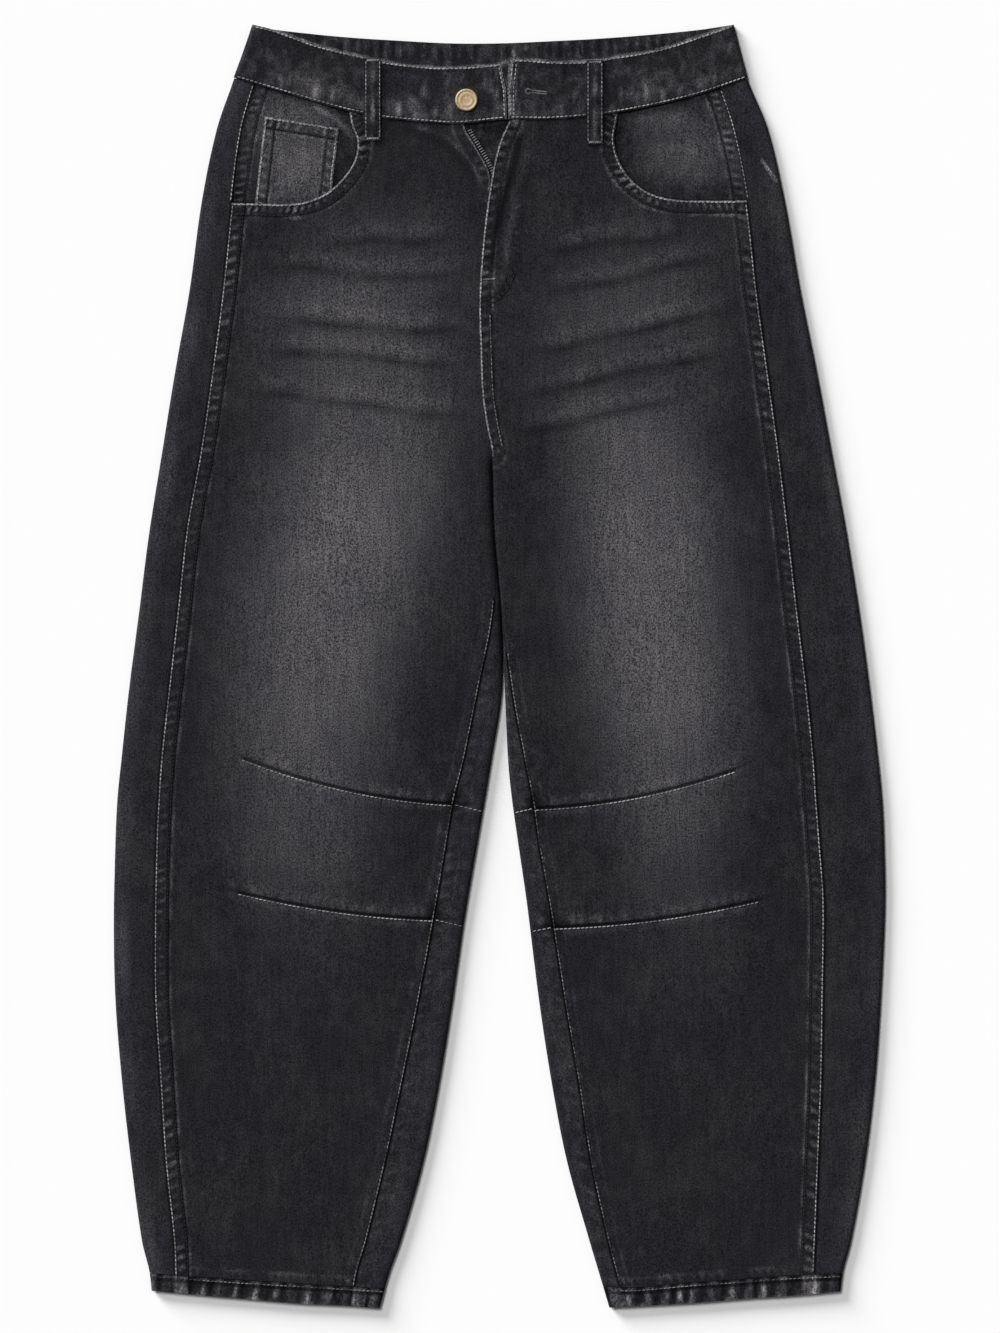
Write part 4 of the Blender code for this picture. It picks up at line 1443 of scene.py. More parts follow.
@dataclass
class Waistband:
    """The waistband: one flattened loop, open at the centre front."""

    wardrobe: Wardrobe
    front_steps: int = 120
    back_steps: int = 230
    turn_steps: int = 8
    rows: int = 18

    def stops(self) -> list[Array]:
        """Part, side and run of each column, from the right front end round to the left."""
        front = np.linspace(0, 1, self.front_steps + 1)
        turn = np.linspace(0, 1, self.turn_steps + 1)[1:-1]
        back = np.linspace(0, 1, self.back_steps + 1)
        return loop_columns((
            ("front", 1, front), ("turn", 1, turn), ("back", 0, back),
            ("turn", -1, turn[::-1]), ("front", -1, front[::-1]),
        ))

    @staticmethod
    def edge_down(x: Array, share: Array, upward: Array) -> Array:
        """Height of a share down the band, on its front or its back."""
        high = mix(smooth(BACK_TOP, x), smooth(FRONT_TOP, x), upward)
        low = mix(straight(BACK_SEAM, x), smooth(FRONT_SEAM, x), upward)
        return mix(high, low, share)

    def relief(self, x: Array, share: Array, upward: Array) -> Pair:
        """The rise, and the wear and painted shade, of the band's edges, puckers, creases and
        wrinkles.
        """
        tall = WAIST_TALL
        rims = bell((1 - share) * tall - 2.4, 1.6) + bell(share * tall - 2.2, 1.6)
        front_puckers = ripple(x, share * 8, 9.5, 71) * bell((1 - share) * tall - 7, 5.5)
        soft = ripple(x, share * 30, 34, 73)
        rise = upward * (0.3 * rims + 0.2 * front_puckers + 0.22 * soft)
        band = bell((1 - share) * tall - 11, 7.0) * (0.7 + 0.5 * ripple(x, share * 20, 26, 75))
        places_worn = 0.8 * bell(x + 134, 44) + bell(x + 62, 26) + 0.75 * bell(x - 110, 40)
        crests = np.maximum(front_puckers, 0) * (0.4 + 0.9 * places_worn)
        wear_and_shade = upward * (crests + 0.5 * band * places_worn)
        past = x - straight(WAIST_END[1], share)
        ends = 0.9 * bell(x + 3.5, 3.4) + 2.6 * bell(past - 2.2, 1.7) + 1.2 * bell(past - 5.6, 0.8)
        wear_and_shade = wear_and_shade + upward * ends * (0.5 + 0.5 * ripple(x * 3, share * 40, 12, 79))
        # Painted shade in the soft creases that hang down the band's front.
        drape_shade = np.maximum(ripple(x, share * 6, 12, 72) - 0.2, 0) * bell(x - 30, 34)
        wear_and_shade = wear_and_shade - 1.0 * upward * drape_shade * ease((0.6 - share) / 0.4)
        for i, (middle, at, length, lean) in enumerate(WRINKLES):
            gap_y = (share - at) * tall
            gap_x = x - middle + gap_y * lean + 0.6 * np.sin(gap_y / 2.5 + i)
            line = bell(gap_x, 1.5) * bell(gap_y, length / 2) * upward
            rise, wear_and_shade = rise + 0.35 * line, wear_and_shade + 0.6 * line
        inside = 1 - upward
        wave = np.sin(2 * math.pi * x / 8.6 + 1.6 * ripple(x, 0 * x, 60, 76))
        ribs = wave * np.clip(0.8 + 0.5 * ripple(x, 0 * x, 26, 77), 0.1, 1.3)
        ribs = ribs * bell(share * tall - 8, 7.5)
        # Inside the band, worn pale rib crests and painted shade between them.
        inside_wear_and_shade = 1.5 * np.maximum(ribs, 0) ** 2.2 - 0.8 * np.maximum(-ribs, 0)
        return rise + inside * 0.3 * ribs, wear_and_shade + inside * inside_wear_and_shade

    def build(self) -> None:
        middle = WAIST_WALL + GAP / 2
        fold = middle - WAIST_WALL / 2
        names, sides, run = self.stops()
        _, share = grid(1, self.rows)
        share = share - 0.07 * np.sin(2 * math.pi * share)
        root = {s: mix(*WAIST_FOLD[s], share) - s * (fold + WAIST_WALL / 2) for s in (-1, 1)}
        side_root = np.where(sides > 0, root[1], root[-1])
        end = np.where(sides > 0, *(straight(WAIST_END[s], share) for s in (1, -1)))
        turn = math.pi * run
        upward = np.select([names == "front", names == "back"], [1.0, 0.0], (1 + np.cos(turn)) / 2)
        faces = []
        for lift in (WAIST_WALL / 2, -WAIST_WALL / 2):
            x = np.select(
                [names == "front", names == "back"],
                [mix(end, side_root, run), mix(root[1], root[-1], run)],
                side_root + sides * (fold + lift) * np.sin(turn),
            )
            down = self.edge_down(x, share, upward)
            z = middle + (fold + lift) * (2 * upward - 1)
            rise, _ = self.relief(x, share, upward)
            shown = np.where(names == "front", lift > 0, (names == "back") & (lift < 0))
            faces.append(in_frame(x, down, z + rise * shown))
        thing = wall("cloth_waistband", *faces)
        self.finish(thing)
        self.wardrobe.dress_cloth(thing, "denim_waistband", "waistband")

    def finish(self, thing: Object) -> None:
        """Write the fade, the wear and the painted shade on the band."""
        x, down, z = places(thing)
        upward = (z > WAIST_WALL + 0.2).astype(float)
        high, low = (self.edge_down(x, share, upward) for share in (0.0, 1.0))
        _, wear_and_shade = self.relief(x, (down - high) / (low - high), upward)
        ends = [
            Line(straight(WAIST_END[side], np.linspace(0, 1, 16)), np.linspace(high, 74, 16))
            for side, high in WAIST_CORNER.items()
        ]
        eye_x, eye_down, end_x, end_down = BUTTONHOLE
        trim = Trim(
            edges=[over(FRONT_TOP, -191, 181, 0.0, 120), *ends],
            # The buttonhole's slit is painted dark as shade.
            shaded_grooves=[Line([eye_x - 0.5, end_x], [eye_down, end_down])],
        )
        mark(thing, trim, 0.04 + 0.03 * ripple(x, down, 50, 81), wear_and_shade)

    @staticmethod
    def between_loops(start: float, end: float) -> list[tuple[float, float]]:
        """The two stretches of a run that its belt loop leaves free."""
        middle = next(loop[0] for loop in BELT_LOOPS.values() if start < loop[0] < end)
        reach = LOOP_WIDTH / 2 + 0.5
        return [(start, middle - reach), (middle + reach, end)]

    def stitches(self) -> list[Stitches]:
        """The light rows along both edges and the two ends."""
        rows = []
        for span in self.between_loops(-189, -1.5) + self.between_loops(11.5, 179):
            rows.append(Stitches(over(FRONT_TOP, *span, 1.5), width=1.15))
        for span in self.between_loops(-203, 3.0) + self.between_loops(9.0, 190):
            rows.append(Stitches(over(FRONT_SEAM, *span, -1.5), width=1.1))
        share = np.linspace(0.06, 0.95, 20)
        for side, shift in ((-1, -1.6), (1, 1.8), (1, 4.6)):
            end, down = straight(WAIST_END[side], share), mix(WAIST_CORNER[side], 73.5, share)
            rows.append(Stitches(Line(end + shift, down), width=1.0))
        return rows


@dataclass
class BeltLoop:
    """A folded strip over the waistband, tacked down at its top and below the seam."""

    side: Side
    wardrobe: Wardrobe
    columns: int = 10
    rows: int = 40

    def build(self) -> None:
        middle, top, end = BELT_LOOPS[self.side.word]
        over = 2 * WAIST_WALL + 2 * GAP
        low = FRONT_UNDER + CLOTH + GAP
        heights = (
            (0, over), (0.12, over + 0.2), (0.3, over + 1.0), (0.55, over + 1.1),
            (0.7, over + 0.8), (0.84, low + 0.9), (1, low + 0.1),
        )
        across, share = grid(self.columns, self.rows)
        across = 2 * across - 1
        down = mix(top, end, share)
        under = smooth(heights, share)
        crown = 0.35 * bell(across, 0.32) - 0.45 * np.abs(across) ** 6
        crown = crown - 0.18 * bell(np.abs(across) - 0.62, 0.12)
        crown = crown + 0.12 * ripple(across * 8, down, 9, 83) * (1 - across**2)
        x = middle + across * LOOP_WIDTH / 2
        name = "belt_loop_" + self.side.word
        thing = layer("cloth_" + name, x, down, under + LOOP_WALL + crown, under)
        x, down, _ = places(thing)
        gap = (x - middle) / (LOOP_WIDTH / 2)
        # A worn paler middle, and painted shade in the dips beside it and towards both edges.
        wear_and_shade = 1.1 * bell(gap, 0.26) * (0.55 + 0.5 * ripple(x, down, 14, 85)) - 0.3 * gap**8
        wear_and_shade = wear_and_shade - 0.5 * bell(np.abs(gap) - 0.52, 0.14)
        mark(thing, Trim(), 0.12 + 0 * x, wear_and_shade)
        self.wardrobe.dress_cloth(thing, "denim_waistband", name)

    def stitches(self) -> list[Stitches]:
        """Two light rows along the loop and a bar tack at each end."""
        middle, top, end = BELT_LOOPS[self.side.word]
        sides = (Line([middle + shift] * 2, [top + 2, end - 2]) for shift in (-5.3, 5.3))
        rows = [Stitches(side, width=0.9) for side in sides]
        for down in (top + 1.4, end - 1.6):
            for turn in (-0.35, 0.35):
                line = Line([middle - 4.6, middle + 4.6], [down + turn, down - turn])
                rows.append(Stitches(line, pitch=1.5, length=2.2, width=0.85, slant=0.5))
        return rows


@dataclass
class PocketFront:
    """What shows in one pocket mouth: the facing and, on the right, the coin pocket."""

    side: Side
    wardrobe: Wardrobe
    columns: int = 60
    rows: int = 56

    def __post_init__(self) -> None:
        """Keep the line of the mouth."""
        self.mouth = Line.through(MOUTHS[self.side.value])

    def depth(self, x: Array, down: Array) -> Array:
        """How far each place lies inside the mouth, or 0 under the front panel."""
        corners = cut_outline(self.mouth)
        inside = np.zeros(x.shape, bool)
        for (ax, ay), (bx, by) in zip(corners, np.roll(corners, -1, axis=0)):
            if ay == by:
                continue
            crosses = (ay > down) != (by > down)
            inside ^= crosses & (x < ax + (bx - ax) * (down - ay) / (by - ay))
        gap = np.min([np.hypot(x - px, down - py) for px, py in self.mouth.points], axis=0)
        return np.where(inside, gap, 0.0)

    def height(self, x: Array, down: Array) -> Array:
        """Middle of the facing, which sinks under the front panel at the mouth."""
        return FACING_LOW + FACING_RISE * ease((self.depth(x, down) - 1) / FACING_SLOPE)

    def seam(self) -> Line:
        """The side seam beside the facing."""
        return seam_line(self.side.value, Section.outseam, 45, 150)

    def build(self) -> None:
        sign = self.side.value
        inner_x = sign * (min(abs(point[0]) for point in MOUTHS[sign]) - FACING_UNDERLAP)
        low = max(point[1] for point in MOUTHS[sign]) + FACING_UNDERLAP
        run, share = grid(self.columns, self.rows)
        x = np.full((self.columns + 1, self.rows + 1), inner_x)
        for _ in range(4):
            down = mix(smooth(FRONT_SEAM, x) + 2 * GAP, low, share)
            outer_x = Section(sign, down).seam(Section.outseam) + sign * FACING_TUCK
            x = mix(outer_x, inner_x, run)
        trim = Trim(
            strips=[Strip(self.seam(), -sign, 9.5, 0.2, 0.3, 6.6, 1.15, 91 + sign)],
            # Painted shade beside the side seam and under the mouth's edge.
            shaded_grooves=[self.seam().beside(-sign * 10), self.mouth],
        )
        middle = self.height(x, down)
        rise = trim.effect(x, down)[0] * ease((self.depth(x, down) - 1) / 6)
        name, half = "pocket_facing_" + self.side.word, POCKET_WALL / 2
        thing = layer("cloth_" + name, x, down, middle + half + rise, middle - half)
        self.finish(thing, trim)
        self.wardrobe.dress_cloth(thing, "denim_pocket", name)
        if self.side is Side.RIGHT:
            self.build_coin_pocket()

    def finish(self, thing: Object, trim: Trim) -> None:
        """Write the fade, the wear and the painted shade on the facing."""
        x, down, _ = places(thing)
        deep = self.depth(x, down)
        shade = 1 - ease(deep / 22)
        if self.side is Side.RIGHT:
            ridge = Line.through(((-142, 64), (-132, 70), (-124.5, 75.5), (-119, 80), (-114, 86)))
            line = bell(ridge.near(x, down)[1], 2.2)
            fade = 0.6 * bell(x + 158, 36) * bell(down - 72, 17) + 0.12 + 1.3 * line
        else:
            top = bell(down - 73, 6) * ease((x - 93) / 12) * ease((160 - x) / 20)
            fade = 0.1 + 0.5 * bell(x - 147, 34) * bell(down - 100, 27) + 0.4 * top
            shade = np.maximum(shade, bell(x - 102, 12) * bell(down - 101, 7))
        mark(thing, trim, fade * (1 - 0.6 * shade), -0.35 * shade)

    def build_coin_pocket(self) -> None:
        """Build the small patch pocket on the right facing."""
        s, t = grid(self.columns, self.rows)
        top_left, top_right, low_right, low_left = np.array(COIN_CORNERS, float)
        top, low = mix(top_left, top_right, s).T, mix(low_left, low_right, s).T
        x, down = mix(top[:, :, None], low[:, :, None], t)
        trim = self.coin_trim()
        middle = self.height(x, down) + POCKET_WALL + GAP + 0.08
        shown = ease((self.depth(x, down) - 1) / 5)
        rise = (trim.effect(x, down)[0] + 0.25 * bell(t - 0.6, 0.35) * bell(s - 0.5, 0.3)) * shown
        half = POCKET_WALL / 2
        thing = layer("cloth_coin_pocket", x, down, middle + half + rise, middle - half)
        x, down, _ = places(thing)
        pale = bell(x + 156, 21) * bell(down - 114, 26)
        shade = 1 - ease(self.depth(x, down) / 9)
        fade = 0.36 + 0.8 * pale + 0.12 * ripple(x, down, 16, 87)
        mark(thing, trim, fade * (1 - 0.4 * shade), -0.12 * shade)
        self.wardrobe.dress_cloth(thing, "denim_pocket", "coin_pocket")

    @staticmethod
    def coin_sides(inset: float) -> list[Line]:
        """The coin pocket's left, top and right sides, moved in by inset."""
        corners = (COIN_CORNERS[-1], *COIN_CORNERS[:-1])
        sides = (np.linspace(*ends, 24).T for ends in zip(corners, corners[1:]))
        return [Line(*side).beside(-inset) for side in sides]

    def coin_trim(self) -> Trim:
        """The coin pocket's sewn edges."""
        return Trim(
            strips=[
                Strip(line, -1, 8.2, 0.3, 0.26, 7.0, 1.25, 95 + i)
                for i, line in enumerate(self.coin_sides(0))
            ],
            edges=self.coin_sides(0.3),
            # Painted shade along the coin pocket's inner rows.
            shaded_grooves=self.coin_sides(8.4),
        )


@dataclass
class Hem:
    """The turned-up hem of one leg: a closed band with rope-like puckers."""

    side: Side
    wardrobe: Wardrobe
    top_steps: int = 176
    under_steps: int = 24
    turn_steps: int = 8
    rows: int = 12

    def along(self, reach: Pair, shift: float = 0.0) -> Line:
        """The hem's seam between two distances from the centre line, moved down by shift."""
        sign = self.side.value
        return over(HEM_SEAM[sign], *sorted(sign * end for end in reach), shift)

    def wave(self, run: Array, share: Array) -> Array:
        """Height of the puckers along the upper face, from -1 to 1."""
        ends = ease(run / 0.03) * ease((1 - run) / 0.03)
        uneven = 0.5 * ripple(run * 180, share * 5, 40, 97 + self.side.value)
        turn = 2 * math.pi * (HEM_WAVES * run + HEM_WAVE_SLANT * share) + uneven
        sharp = np.sin(turn) + 0.3 * np.sin(2 * turn + 0.6)
        return sharp * ends * (0.75 + 0.25 * ripple(run * 180, 0 * run, 23, 99))

    def build(self) -> None:
        sign = self.side.value
        middle = HEM_TOP / 2
        fold = middle - HEM_WALL / 2
        turns = np.linspace(0, 1, self.turn_steps + 1)
        names, run = loop_columns((
            ("under", np.linspace(0, 1, self.under_steps + 1)), ("outer", turns[1:-1]),
            ("top", np.linspace(0, 1, self.top_steps + 1)), ("inner", turns[1:]),
        ))
        _, share = grid(1, self.rows)
        cases = [names == name for name in ("under", "outer", "top")]
        part = np.select(cases, [0 * run, run, 0 * run + 1], 1 + run)
        upward = 1 - np.abs(1 - part)
        swing, level = np.sin(math.pi * part), -np.cos(math.pi * part)
        faces = []
        for lift in (HEM_WALL / 2, -HEM_WALL / 2):
            down = mix(HEM_ROW, 990.0, share) + 0 * run
            for _ in range(4):
                section = Section(sign, down)
                inner = section.inner + sign * (fold + HEM_WALL / 2)
                outer = section.outer - sign * (fold + HEM_WALL / 2)
                x = np.select(cases, [mix(inner, outer, run), outer, mix(outer, inner, run)], inner)
                high = hem_seam(sign, x, upward) + GAP / 2
                down = mix(high, smooth(HEM_BOTTOM[sign], x), share)
            reach = fold + lift
            crest = HEM_WAVE_RISE * 1.3 * self.wave(run, share) * bell(share - 0.5, 0.45)
            crest = crest + 0.3 * bell(share - 0.12, 0.09) - 0.25 * bell(share - 0.24, 0.06)
            z = middle + reach * level + np.where(names == "top", crest, 0)
            faces.append(in_frame(x + sign * reach * swing, down, z))
        thing = wall("cloth_hem_" + self.side.word, *faces, joined=True)
        self.finish(thing)
        self.wardrobe.dress_cloth(thing, "denim_hem", "hem_" + self.side.word)

    def finish(self, thing: Object) -> None:
        """Write the fade, the wear and the painted shade on the hem."""
        sign = self.side.value
        x, down, z = places(thing)
        high, low = smooth(HEM_SEAM[sign], x), smooth(HEM_BOTTOM[sign], x)
        share = np.clip((down - high) / (low - high), 0, 1)
        section = Section(sign, down)
        run = np.clip((x - section.outer) / (section.inner - section.outer), 0, 1)
        wave = self.wave(run, share)
        patchy = 0.7 + 0.5 * ripple(x, down, 28, 101)
        rope = np.sin(2 * math.pi * x / 13.5 + 2 * ripple(x, 0 * x, 60, 103) + 1.1 * share)
        crests = np.maximum(0.55 * wave + 0.75 * rope, 0) ** 1.3
        wear_and_shade = 1.9 * crests * bell(share - 0.62, 0.3) * patchy
        # The folded bottom is worn pale; the rope's troughs are painted dark as shade.
        wear_and_shade = wear_and_shade + 0.8 * bell(share - 1, 0.12) * patchy - 0.9 * np.maximum(-rope, 0)
        wear_and_shade = wear_and_shade + 0.8 * bell(share - 0.1, 0.1) * np.maximum(rope, 0)
        seams = (Section.outseam, Section.front_end)
        for seam in seams:
            past = -sign * (x - section.seam(seam))
            block = ease((past - 0.8) / 1.2) * ease((10.5 - past) / 1.5)
            # Pale worn blocks over the seams, with a line of painted shade beside each.
            wear_and_shade = wear_and_shade * (1 - 0.8 * block) + 0.95 * block - 0.8 * bell(past - 11, 1.2)
        wear_and_shade = wear_and_shade * ease((z - 3) / 1.5)
        line = self.along(HEM_GROOVE)
        trim = Trim(
            edges=[seam_line(sign, seam, 968, 990, 12) for seam in seams],
            # Painted shade along the hem's sunk row and the lines beside it.
            shaded_grooves=[line, line.beside(4.6), line.beside(-4.6)],
        )
        mark(thing, trim, 0.04 + 0 * x, wear_and_shade)

    def stitches(self) -> list[Stitches]:
        """The row that holds the hem up."""
        return [Stitches(self.along(HEM_STITCHED, 2.6), width=0.9)]


@dataclass
class Closure:
    """The fly shield, zip, button and buttonhole."""

    wardrobe: Wardrobe
    tooth_pitch: float = 2.1
    cap_steps: int = 64

    def strip(self, name: str, strip: FlyStrip, left: Callable, under: float) -> Object:
        """A flat strip behind the fly between two edges that follow its curve."""
        across = np.linspace(0, 1, 9)[:, None]
        down = np.linspace(strip.end, strip.top, 60)[None, :]
        x = mix(zip_edge(down) + strip.right, left(down) + strip.left, across)
        top = under + POCKET_WALL + 0.12 * ripple(x, down, 22, 89)
        return layer(name, x, down, top, under)

    def build(self) -> None:
        """Build every piece of the closure."""
        under = CLOTH + GAP
        shield = self.strip("cloth_fly_shield", SHIELD, fly_edge, under)
        tape = self.strip("cloth_zip_tape", ZIP_TAPE, zip_edge, under + POCKET_WALL + GAP)
        looks = (
            (shield, 0.03, 0.1, "denim_inside", "fly_shield"), (tape, 0.08, 0.0, "zip", "zip_tape"),
        )
        for thing, fade, wear_and_shade, slot, node in looks:
            x, down, _ = places(thing)
            mark(thing, Trim(), fade + 0 * x, wear_and_shade * ripple(x, down, 14, 93))
            self.wardrobe.dress_cloth(thing, slot, node)
        self.build_teeth()
        self.build_button()

    def build_teeth(self) -> None:
        """The zip's teeth along the free edge of its tape."""
        line = edge_line(lambda down: zip_edge(down) + 3.2, ZIP_TAPE.top + 1, ZIP_TAPE.end - 1, 80)
        mesh = bmesh.new()
        bmesh.ops.create_cube(mesh, size=1.0)
        bmesh.ops.bevel(mesh, geom=mesh.edges[:], offset=0.22, affect="EDGES", segments=1,
                        profile=0.5, material=-1)
        tooth = model_of("tooth", mesh)
        mesh = bmesh.new()
        height = CLOTH + 2 * GAP + 2 * POCKET_WALL + 0.5
        for i in range(int(line.length / self.tooth_pitch)):
            x, down = line.at((i + 0.5) * self.tooth_pitch)
            ahead, behind = line.at((i + 1.0) * self.tooth_pitch), line.at(i * self.tooth_pitch)
            way = Vector((ahead[0] - behind[0], behind[1] - ahead[1], 0.0)).normalized()
            axes = (way, 3.4 * Vector((-way.y, way.x, 0.0)), (0.0, 0.0, 1.1))
            stamp(mesh, tooth, Vector((x, LENGTH / 2 - down, height)), axes)
        bpy.data.meshes.remove(tooth)
        teeth = link("zip_teeth", mesh, 30)
        self.wardrobe.dress(teeth, "button_metal", self.wardrobe.finishes.teeth)

    def build_button(self) -> None:
        """The shank button's cap: a turned dish with a raised rim and a plain ring."""
        base = 2 * WAIST_WALL + 2 * GAP
        profile = (
            (0, 0), (5.5, 0), (7.2, 0.35), (8.2, 1.0), (8.65, 1.8), (8.6, 2.4), (8.3, 2.9),
            (7.9, 3.08), (7.5, 3.12), (7.1, 3.06), (6.8, 2.92), (6.4, 2.86), (5.4, 2.88),
            (5.1, 2.98), (4.7, 3.0), (4.3, 2.97), (4.0, 2.88), (2.0, 2.92), (0, 2.94),
        )
        mesh = bmesh.new()
        verts = [mesh.verts.new((radius * MM, 0, (base + z) * MM)) for radius, z in profile]
        edges = [mesh.edges.new(pair) for pair in zip(verts, verts[1:])]
        bmesh.ops.spin(
            mesh, geom=verts + edges, cent=(0, 0, 0), axis=(0, 0, 1), dvec=(0, 0, 0),
            angle=2 * math.pi, steps=self.cap_steps, use_merge=True, use_duplicate=False,
        )
        bmesh.ops.remove_doubles(mesh, verts=mesh.verts, dist=0.01 * MM)
        bmesh.ops.recalc_face_normals(mesh, faces=mesh.faces)
        x, down = BUTTON_PLACE
        bmesh.ops.translate(mesh, verts=mesh.verts, vec=(x * MM, (LENGTH / 2 - down) * MM, 0))
        button = link("button_cap", mesh, 60)
        self.wardrobe.dress(button, "button_metal", self.wardrobe.finishes.brass, "button")

    def stitches(self) -> list[Stitches]:
        """Close bar stitches round the keyhole buttonhole."""
        eye_x, eye_down, end_x, end_down = BUTTONHOLE
        turn = np.linspace(0.5, 2 * math.pi - 0.5, 30)
        ring = Line(eye_x + 2.0 * np.cos(turn), eye_down + 2.0 * np.sin(turn))
        rows = [Stitches(ring, pitch=0.75, length=1.6, width=0.7, slant=math.pi / 2)]
        for gap in (-0.9, 0.8):
            line = Line([eye_x + 2.0, end_x], [eye_down + gap, end_down + gap])
            rows.append(Stitches(line, pitch=0.75, length=1.1, width=0.7, slant=math.pi / 2))
        return rows


class Tailor:
    """Sews every row, also those that run over several pieces."""

    THREADS = {
        "stitches_waist": "thread_light", "stitches_loops": "thread_dim",
        "stitches_pockets": "thread_light", "stitches_fly": "thread_light",
        "stitches_outseams": "thread_light", "stitches_inseams": "thread_faint",
        "stitches_darts": "thread_light", "stitches_hems": "thread_faint",
        "stitches_buttonhole": "thread_dim", "stitches_second_rows": "thread_dark",
    }

    def __init__(self, wardrobe: Wardrobe, legs: list[Leg]) -> None:
        """Keep the wardrobe and the legs, and start with no rows."""
        self.wardrobe = wardrobe
        self.legs = legs
        self.rows: dict[str, list[Stitches]] = {name: [] for name in self.THREADS}

    def light(self, piece: str, line: Line, width: float) -> None:
        """Add a row to one of the pieces."""
        self.rows["stitches_" + piece].append(Stitches(line, width=width))

    def dark(self, line: Line) -> None:
        """Add a dark row to the second rows."""
        self.rows["stitches_second_rows"].append(Stitches(line, *DARK_STITCH))

    def sides(self) -> None:
        """Rows along the outseams, on the front below the pocket and on the back above."""
        for leg in self.legs:
            sign = leg.side.value
            end = MOUTHS[sign][-1][1]
            low = leg.outseam.beside(-sign * 1.3).kept(lambda x, down: down > end + 2)
            high = leg.outseam.beside(sign * 0.9).kept(lambda x, down: down < end)
            self.light("outseams", low, 1.05)
            self.light("outseams", high.kept(leg.below_waist), 1.05)
            self.dark(leg.outseam.beside(-sign * 10.2).kept(leg.below_waist))

    def pockets(self) -> None:
        """Rows round the pocket mouths and the coin pocket."""
        for leg in self.legs:
            sign = leg.side.value
            self.light("pockets", leg.mouth.beside(-sign * 1.2).kept(leg.on_front), 1.15)
            self.dark(leg.mouth.beside(-sign * 8.8).kept(leg.on_front))
        depth = PocketFront(Side.RIGHT, self.wardrobe).depth
        near, far = (
            [line.kept(lambda x, down: depth(x, down) > 2.5) for line in sides]
            for sides in (PocketFront.coin_sides(1.3), PocketFront.coin_sides(8.2))
        )
        for first, second in zip(near, far):
            self.light("pockets", first, 1.0)
            self.dark(second)

    def fly(self) -> None:
        """Rows and bar tack of the fly."""
        self.light("fly", edge_line(fly_edge, FLY_TOP, FLY_END, 90).beside(1.2), 1.15)
        bar = Line([-12.5, -3.5], [197.5, 197.0])
        self.rows["stitches_fly"].append(Stitches(bar, pitch=1.2, length=1.9, width=0.8, slant=0.5))
        for curve in Fly.low_curves():
            self.dark(curve)

    def inner(self) -> None:
        """Rows that are worn faint: the fly's second one and those along the inseams."""
        self.light("inseams", edge_line(fly_edge, 225, FLY_END, 50).beside(8.6), 0.85)
        for leg in self.legs:
            self.light("inseams", leg.inseam.beside(leg.side.value * 1.2), 0.9)

    def darts(self) -> None:
        """Rows of the knee darts, with their short ends on the inner strips."""
        for leg in self.legs:
            sign = leg.side.value
            for dart in DARTS[sign]:
                self.light("darts", leg.dart_line(dart, 0.9), 0.95)
                inner, _, strip = leg.at_dart(dart)
                inner += sign * 1.5
                seam = inner + sign * (strip - 3)
                line = Line([seam, inner], [dart.down - 0.6, dart.down + 3.5 - sign])
                self.light("darts", line, 0.85)

    def build(self, own: dict[str, list[Stitches]]) -> None:
        """Sew every row, in pieces of one thread each.

        Args:
            own: the rows that single pieces bring, by the name of the sewing.
        """
        self.sides()
        self.pockets()
        self.fly()
        self.inner()
        self.darts()
        for name, thread in self.THREADS.items():
            rows = self.rows[name] + own.get(name, [])
            Sewing(name, rows, self.wardrobe.finishes.thread[thread]).build(self.wardrobe)


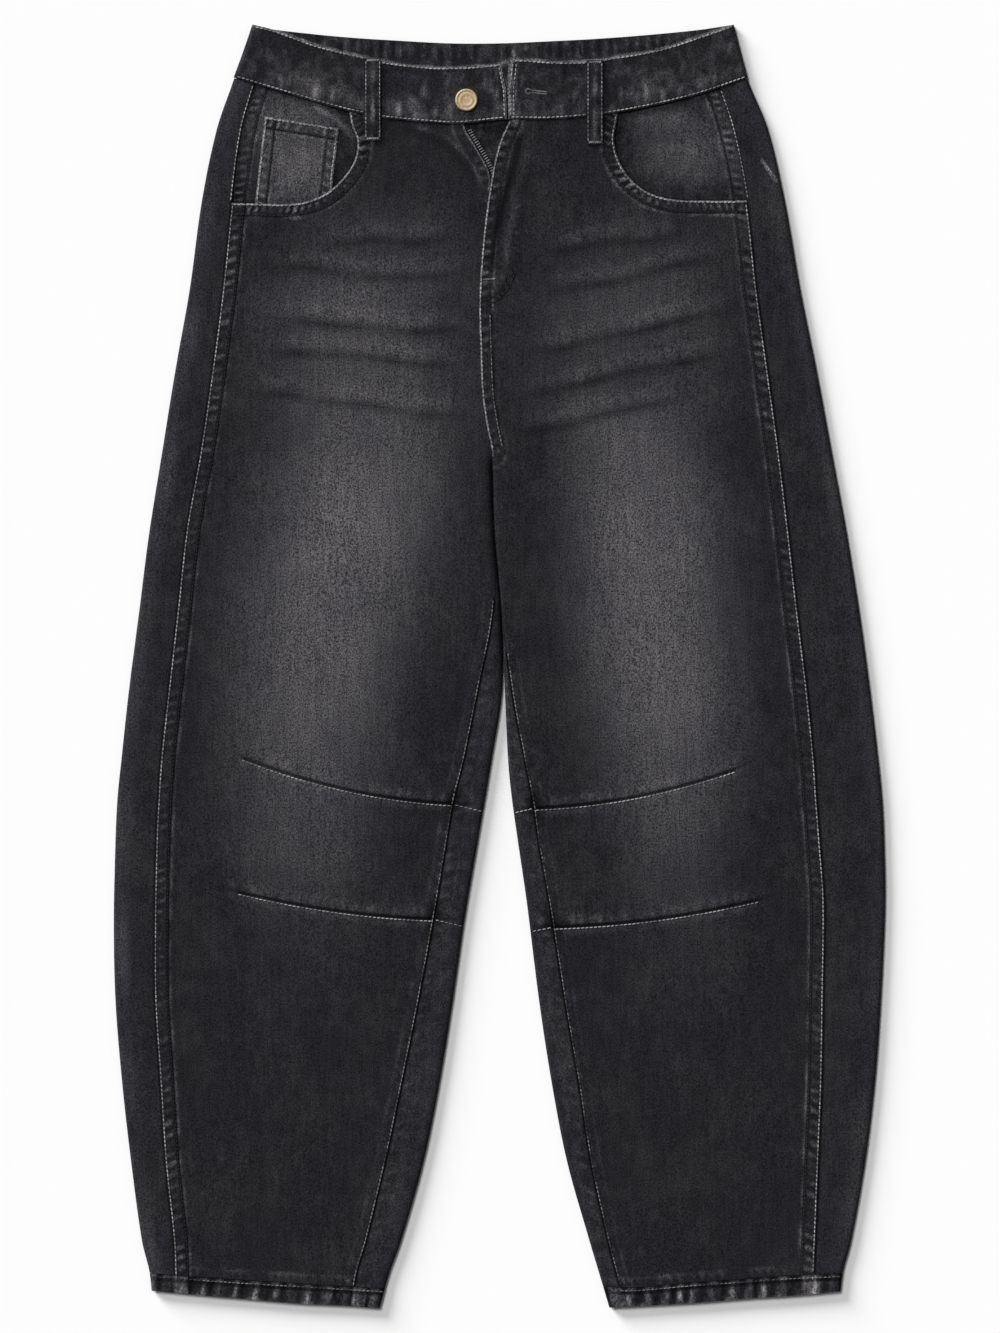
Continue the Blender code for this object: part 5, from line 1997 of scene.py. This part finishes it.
@dataclass(frozen=True)
class Studio:
    """Plain floor, soft light and the camera straight above.

    Attributes:
        view_height: height of the photograph's frame on the floor, in metres.
        distance: the camera's height above the floor.
        fill: brightness of the light from all round.
        turn: direction of the other lights, in degrees from +x.
        sensor: the camera's sensor size in millimetres.
    """

    view_height: float = 1.0331
    distance: float = 6.0
    fill: float = 0.15
    turn: float = 135.0
    sensor: float = 36.0

    def build(self) -> None:
        """Make the floor, lights and camera."""
        self.floor()
        self.lights()
        self.camera()

    def floor(self) -> None:
        """A plain pale floor just under the cloth."""
        mesh = bmesh.new()
        bmesh.ops.create_grid(mesh, x_segments=1, y_segments=1, size=4.0)
        bmesh.ops.translate(mesh, verts=mesh.verts, vec=(0, 0, -0.3 * MM))
        floor = link("floor", mesh)
        nodes = Nodes("floor_paper")
        nodes.set(Base_Color=grey(0.93), Roughness=0.95, Specular_IOR_Level=0.1)
        floor.data.materials.append(nodes.material)

    def lights(self) -> None:
        """Even light from all round and two broad lights from the upper left."""
        world = bpy.data.worlds.new("studio")
        world.use_nodes = True
        background = world.node_tree.nodes["Background"]
        background.inputs["Color"].default_value = (1.0, 1.0, 1.0, 1.0)
        background.inputs["Strength"].default_value = self.fill
        bpy.context.scene.world = world
        self.lamp("low_key", 4.9, 18.0, 26.0)
        self.lamp("high_key", 1.52, 62.0, 20.0)
        bpy.context.scene.view_settings.view_transform = "Standard"

    def lamp(self, name: str, energy: float, rise: float, spread_angle: float) -> None:
        """A broad distant light.

        Args:
            name: the lamp's name.
            energy: its strength.
            rise: its height above the floor in degrees.
            spread_angle: how wide it is in degrees.
        """
        data = bpy.data.lights.new(name, "SUN")
        data.energy = energy
        data.angle = math.radians(spread_angle)
        lamp = bpy.data.objects.new(name, data)
        rise, turn = math.radians(rise), math.radians(self.turn)
        towards = Vector((math.cos(turn) * math.cos(rise), math.sin(turn) * math.cos(rise),
                          math.sin(rise)))
        lamp.rotation_euler = towards.to_track_quat("Z", "Y").to_euler()
        bpy.context.scene.collection.objects.link(lamp)

    def camera(self) -> None:
        """A long lens straight above the middle of the frame."""
        data = bpy.data.cameras.new("camera")
        data.sensor_width = self.sensor
        data.lens = self.sensor * self.distance / self.view_height
        data.clip_end = 4 * self.distance
        camera = bpy.data.objects.new("camera", data)
        camera.location = (0.0004, -0.0002, self.distance)
        bpy.context.scene.collection.objects.link(camera)
        bpy.context.scene.camera = camera


def main() -> None:
    """Build the trousers piece by piece on the frame."""
    logging.basicConfig(level=logging.INFO, format="%(name)s: %(message)s")
    wardrobe = Wardrobe()
    legs = [Leg(side, wardrobe) for side in Side]
    for leg in legs:
        leg.build()
    for side in Side:
        PocketFront(side, wardrobe).build()
    closure = Closure(wardrobe)
    closure.build()
    waist = Waistband(wardrobe)
    waist.build()
    loops = [BeltLoop(side, wardrobe) for side in Side]
    for loop in loops:
        loop.build()
    hems = [Hem(side, wardrobe) for side in Side]
    for hem in hems:
        hem.build()
    Tailor(wardrobe, legs).build({
        "stitches_waist": waist.stitches(),
        "stitches_loops": [row for loop in loops for row in loop.stitches()],
        "stitches_hems": [row for hem in hems for row in hem.stitches()],
        "stitches_buttonhole": closure.stitches(),
    })
    Studio().build()


if __name__ == "__main__":
    main()
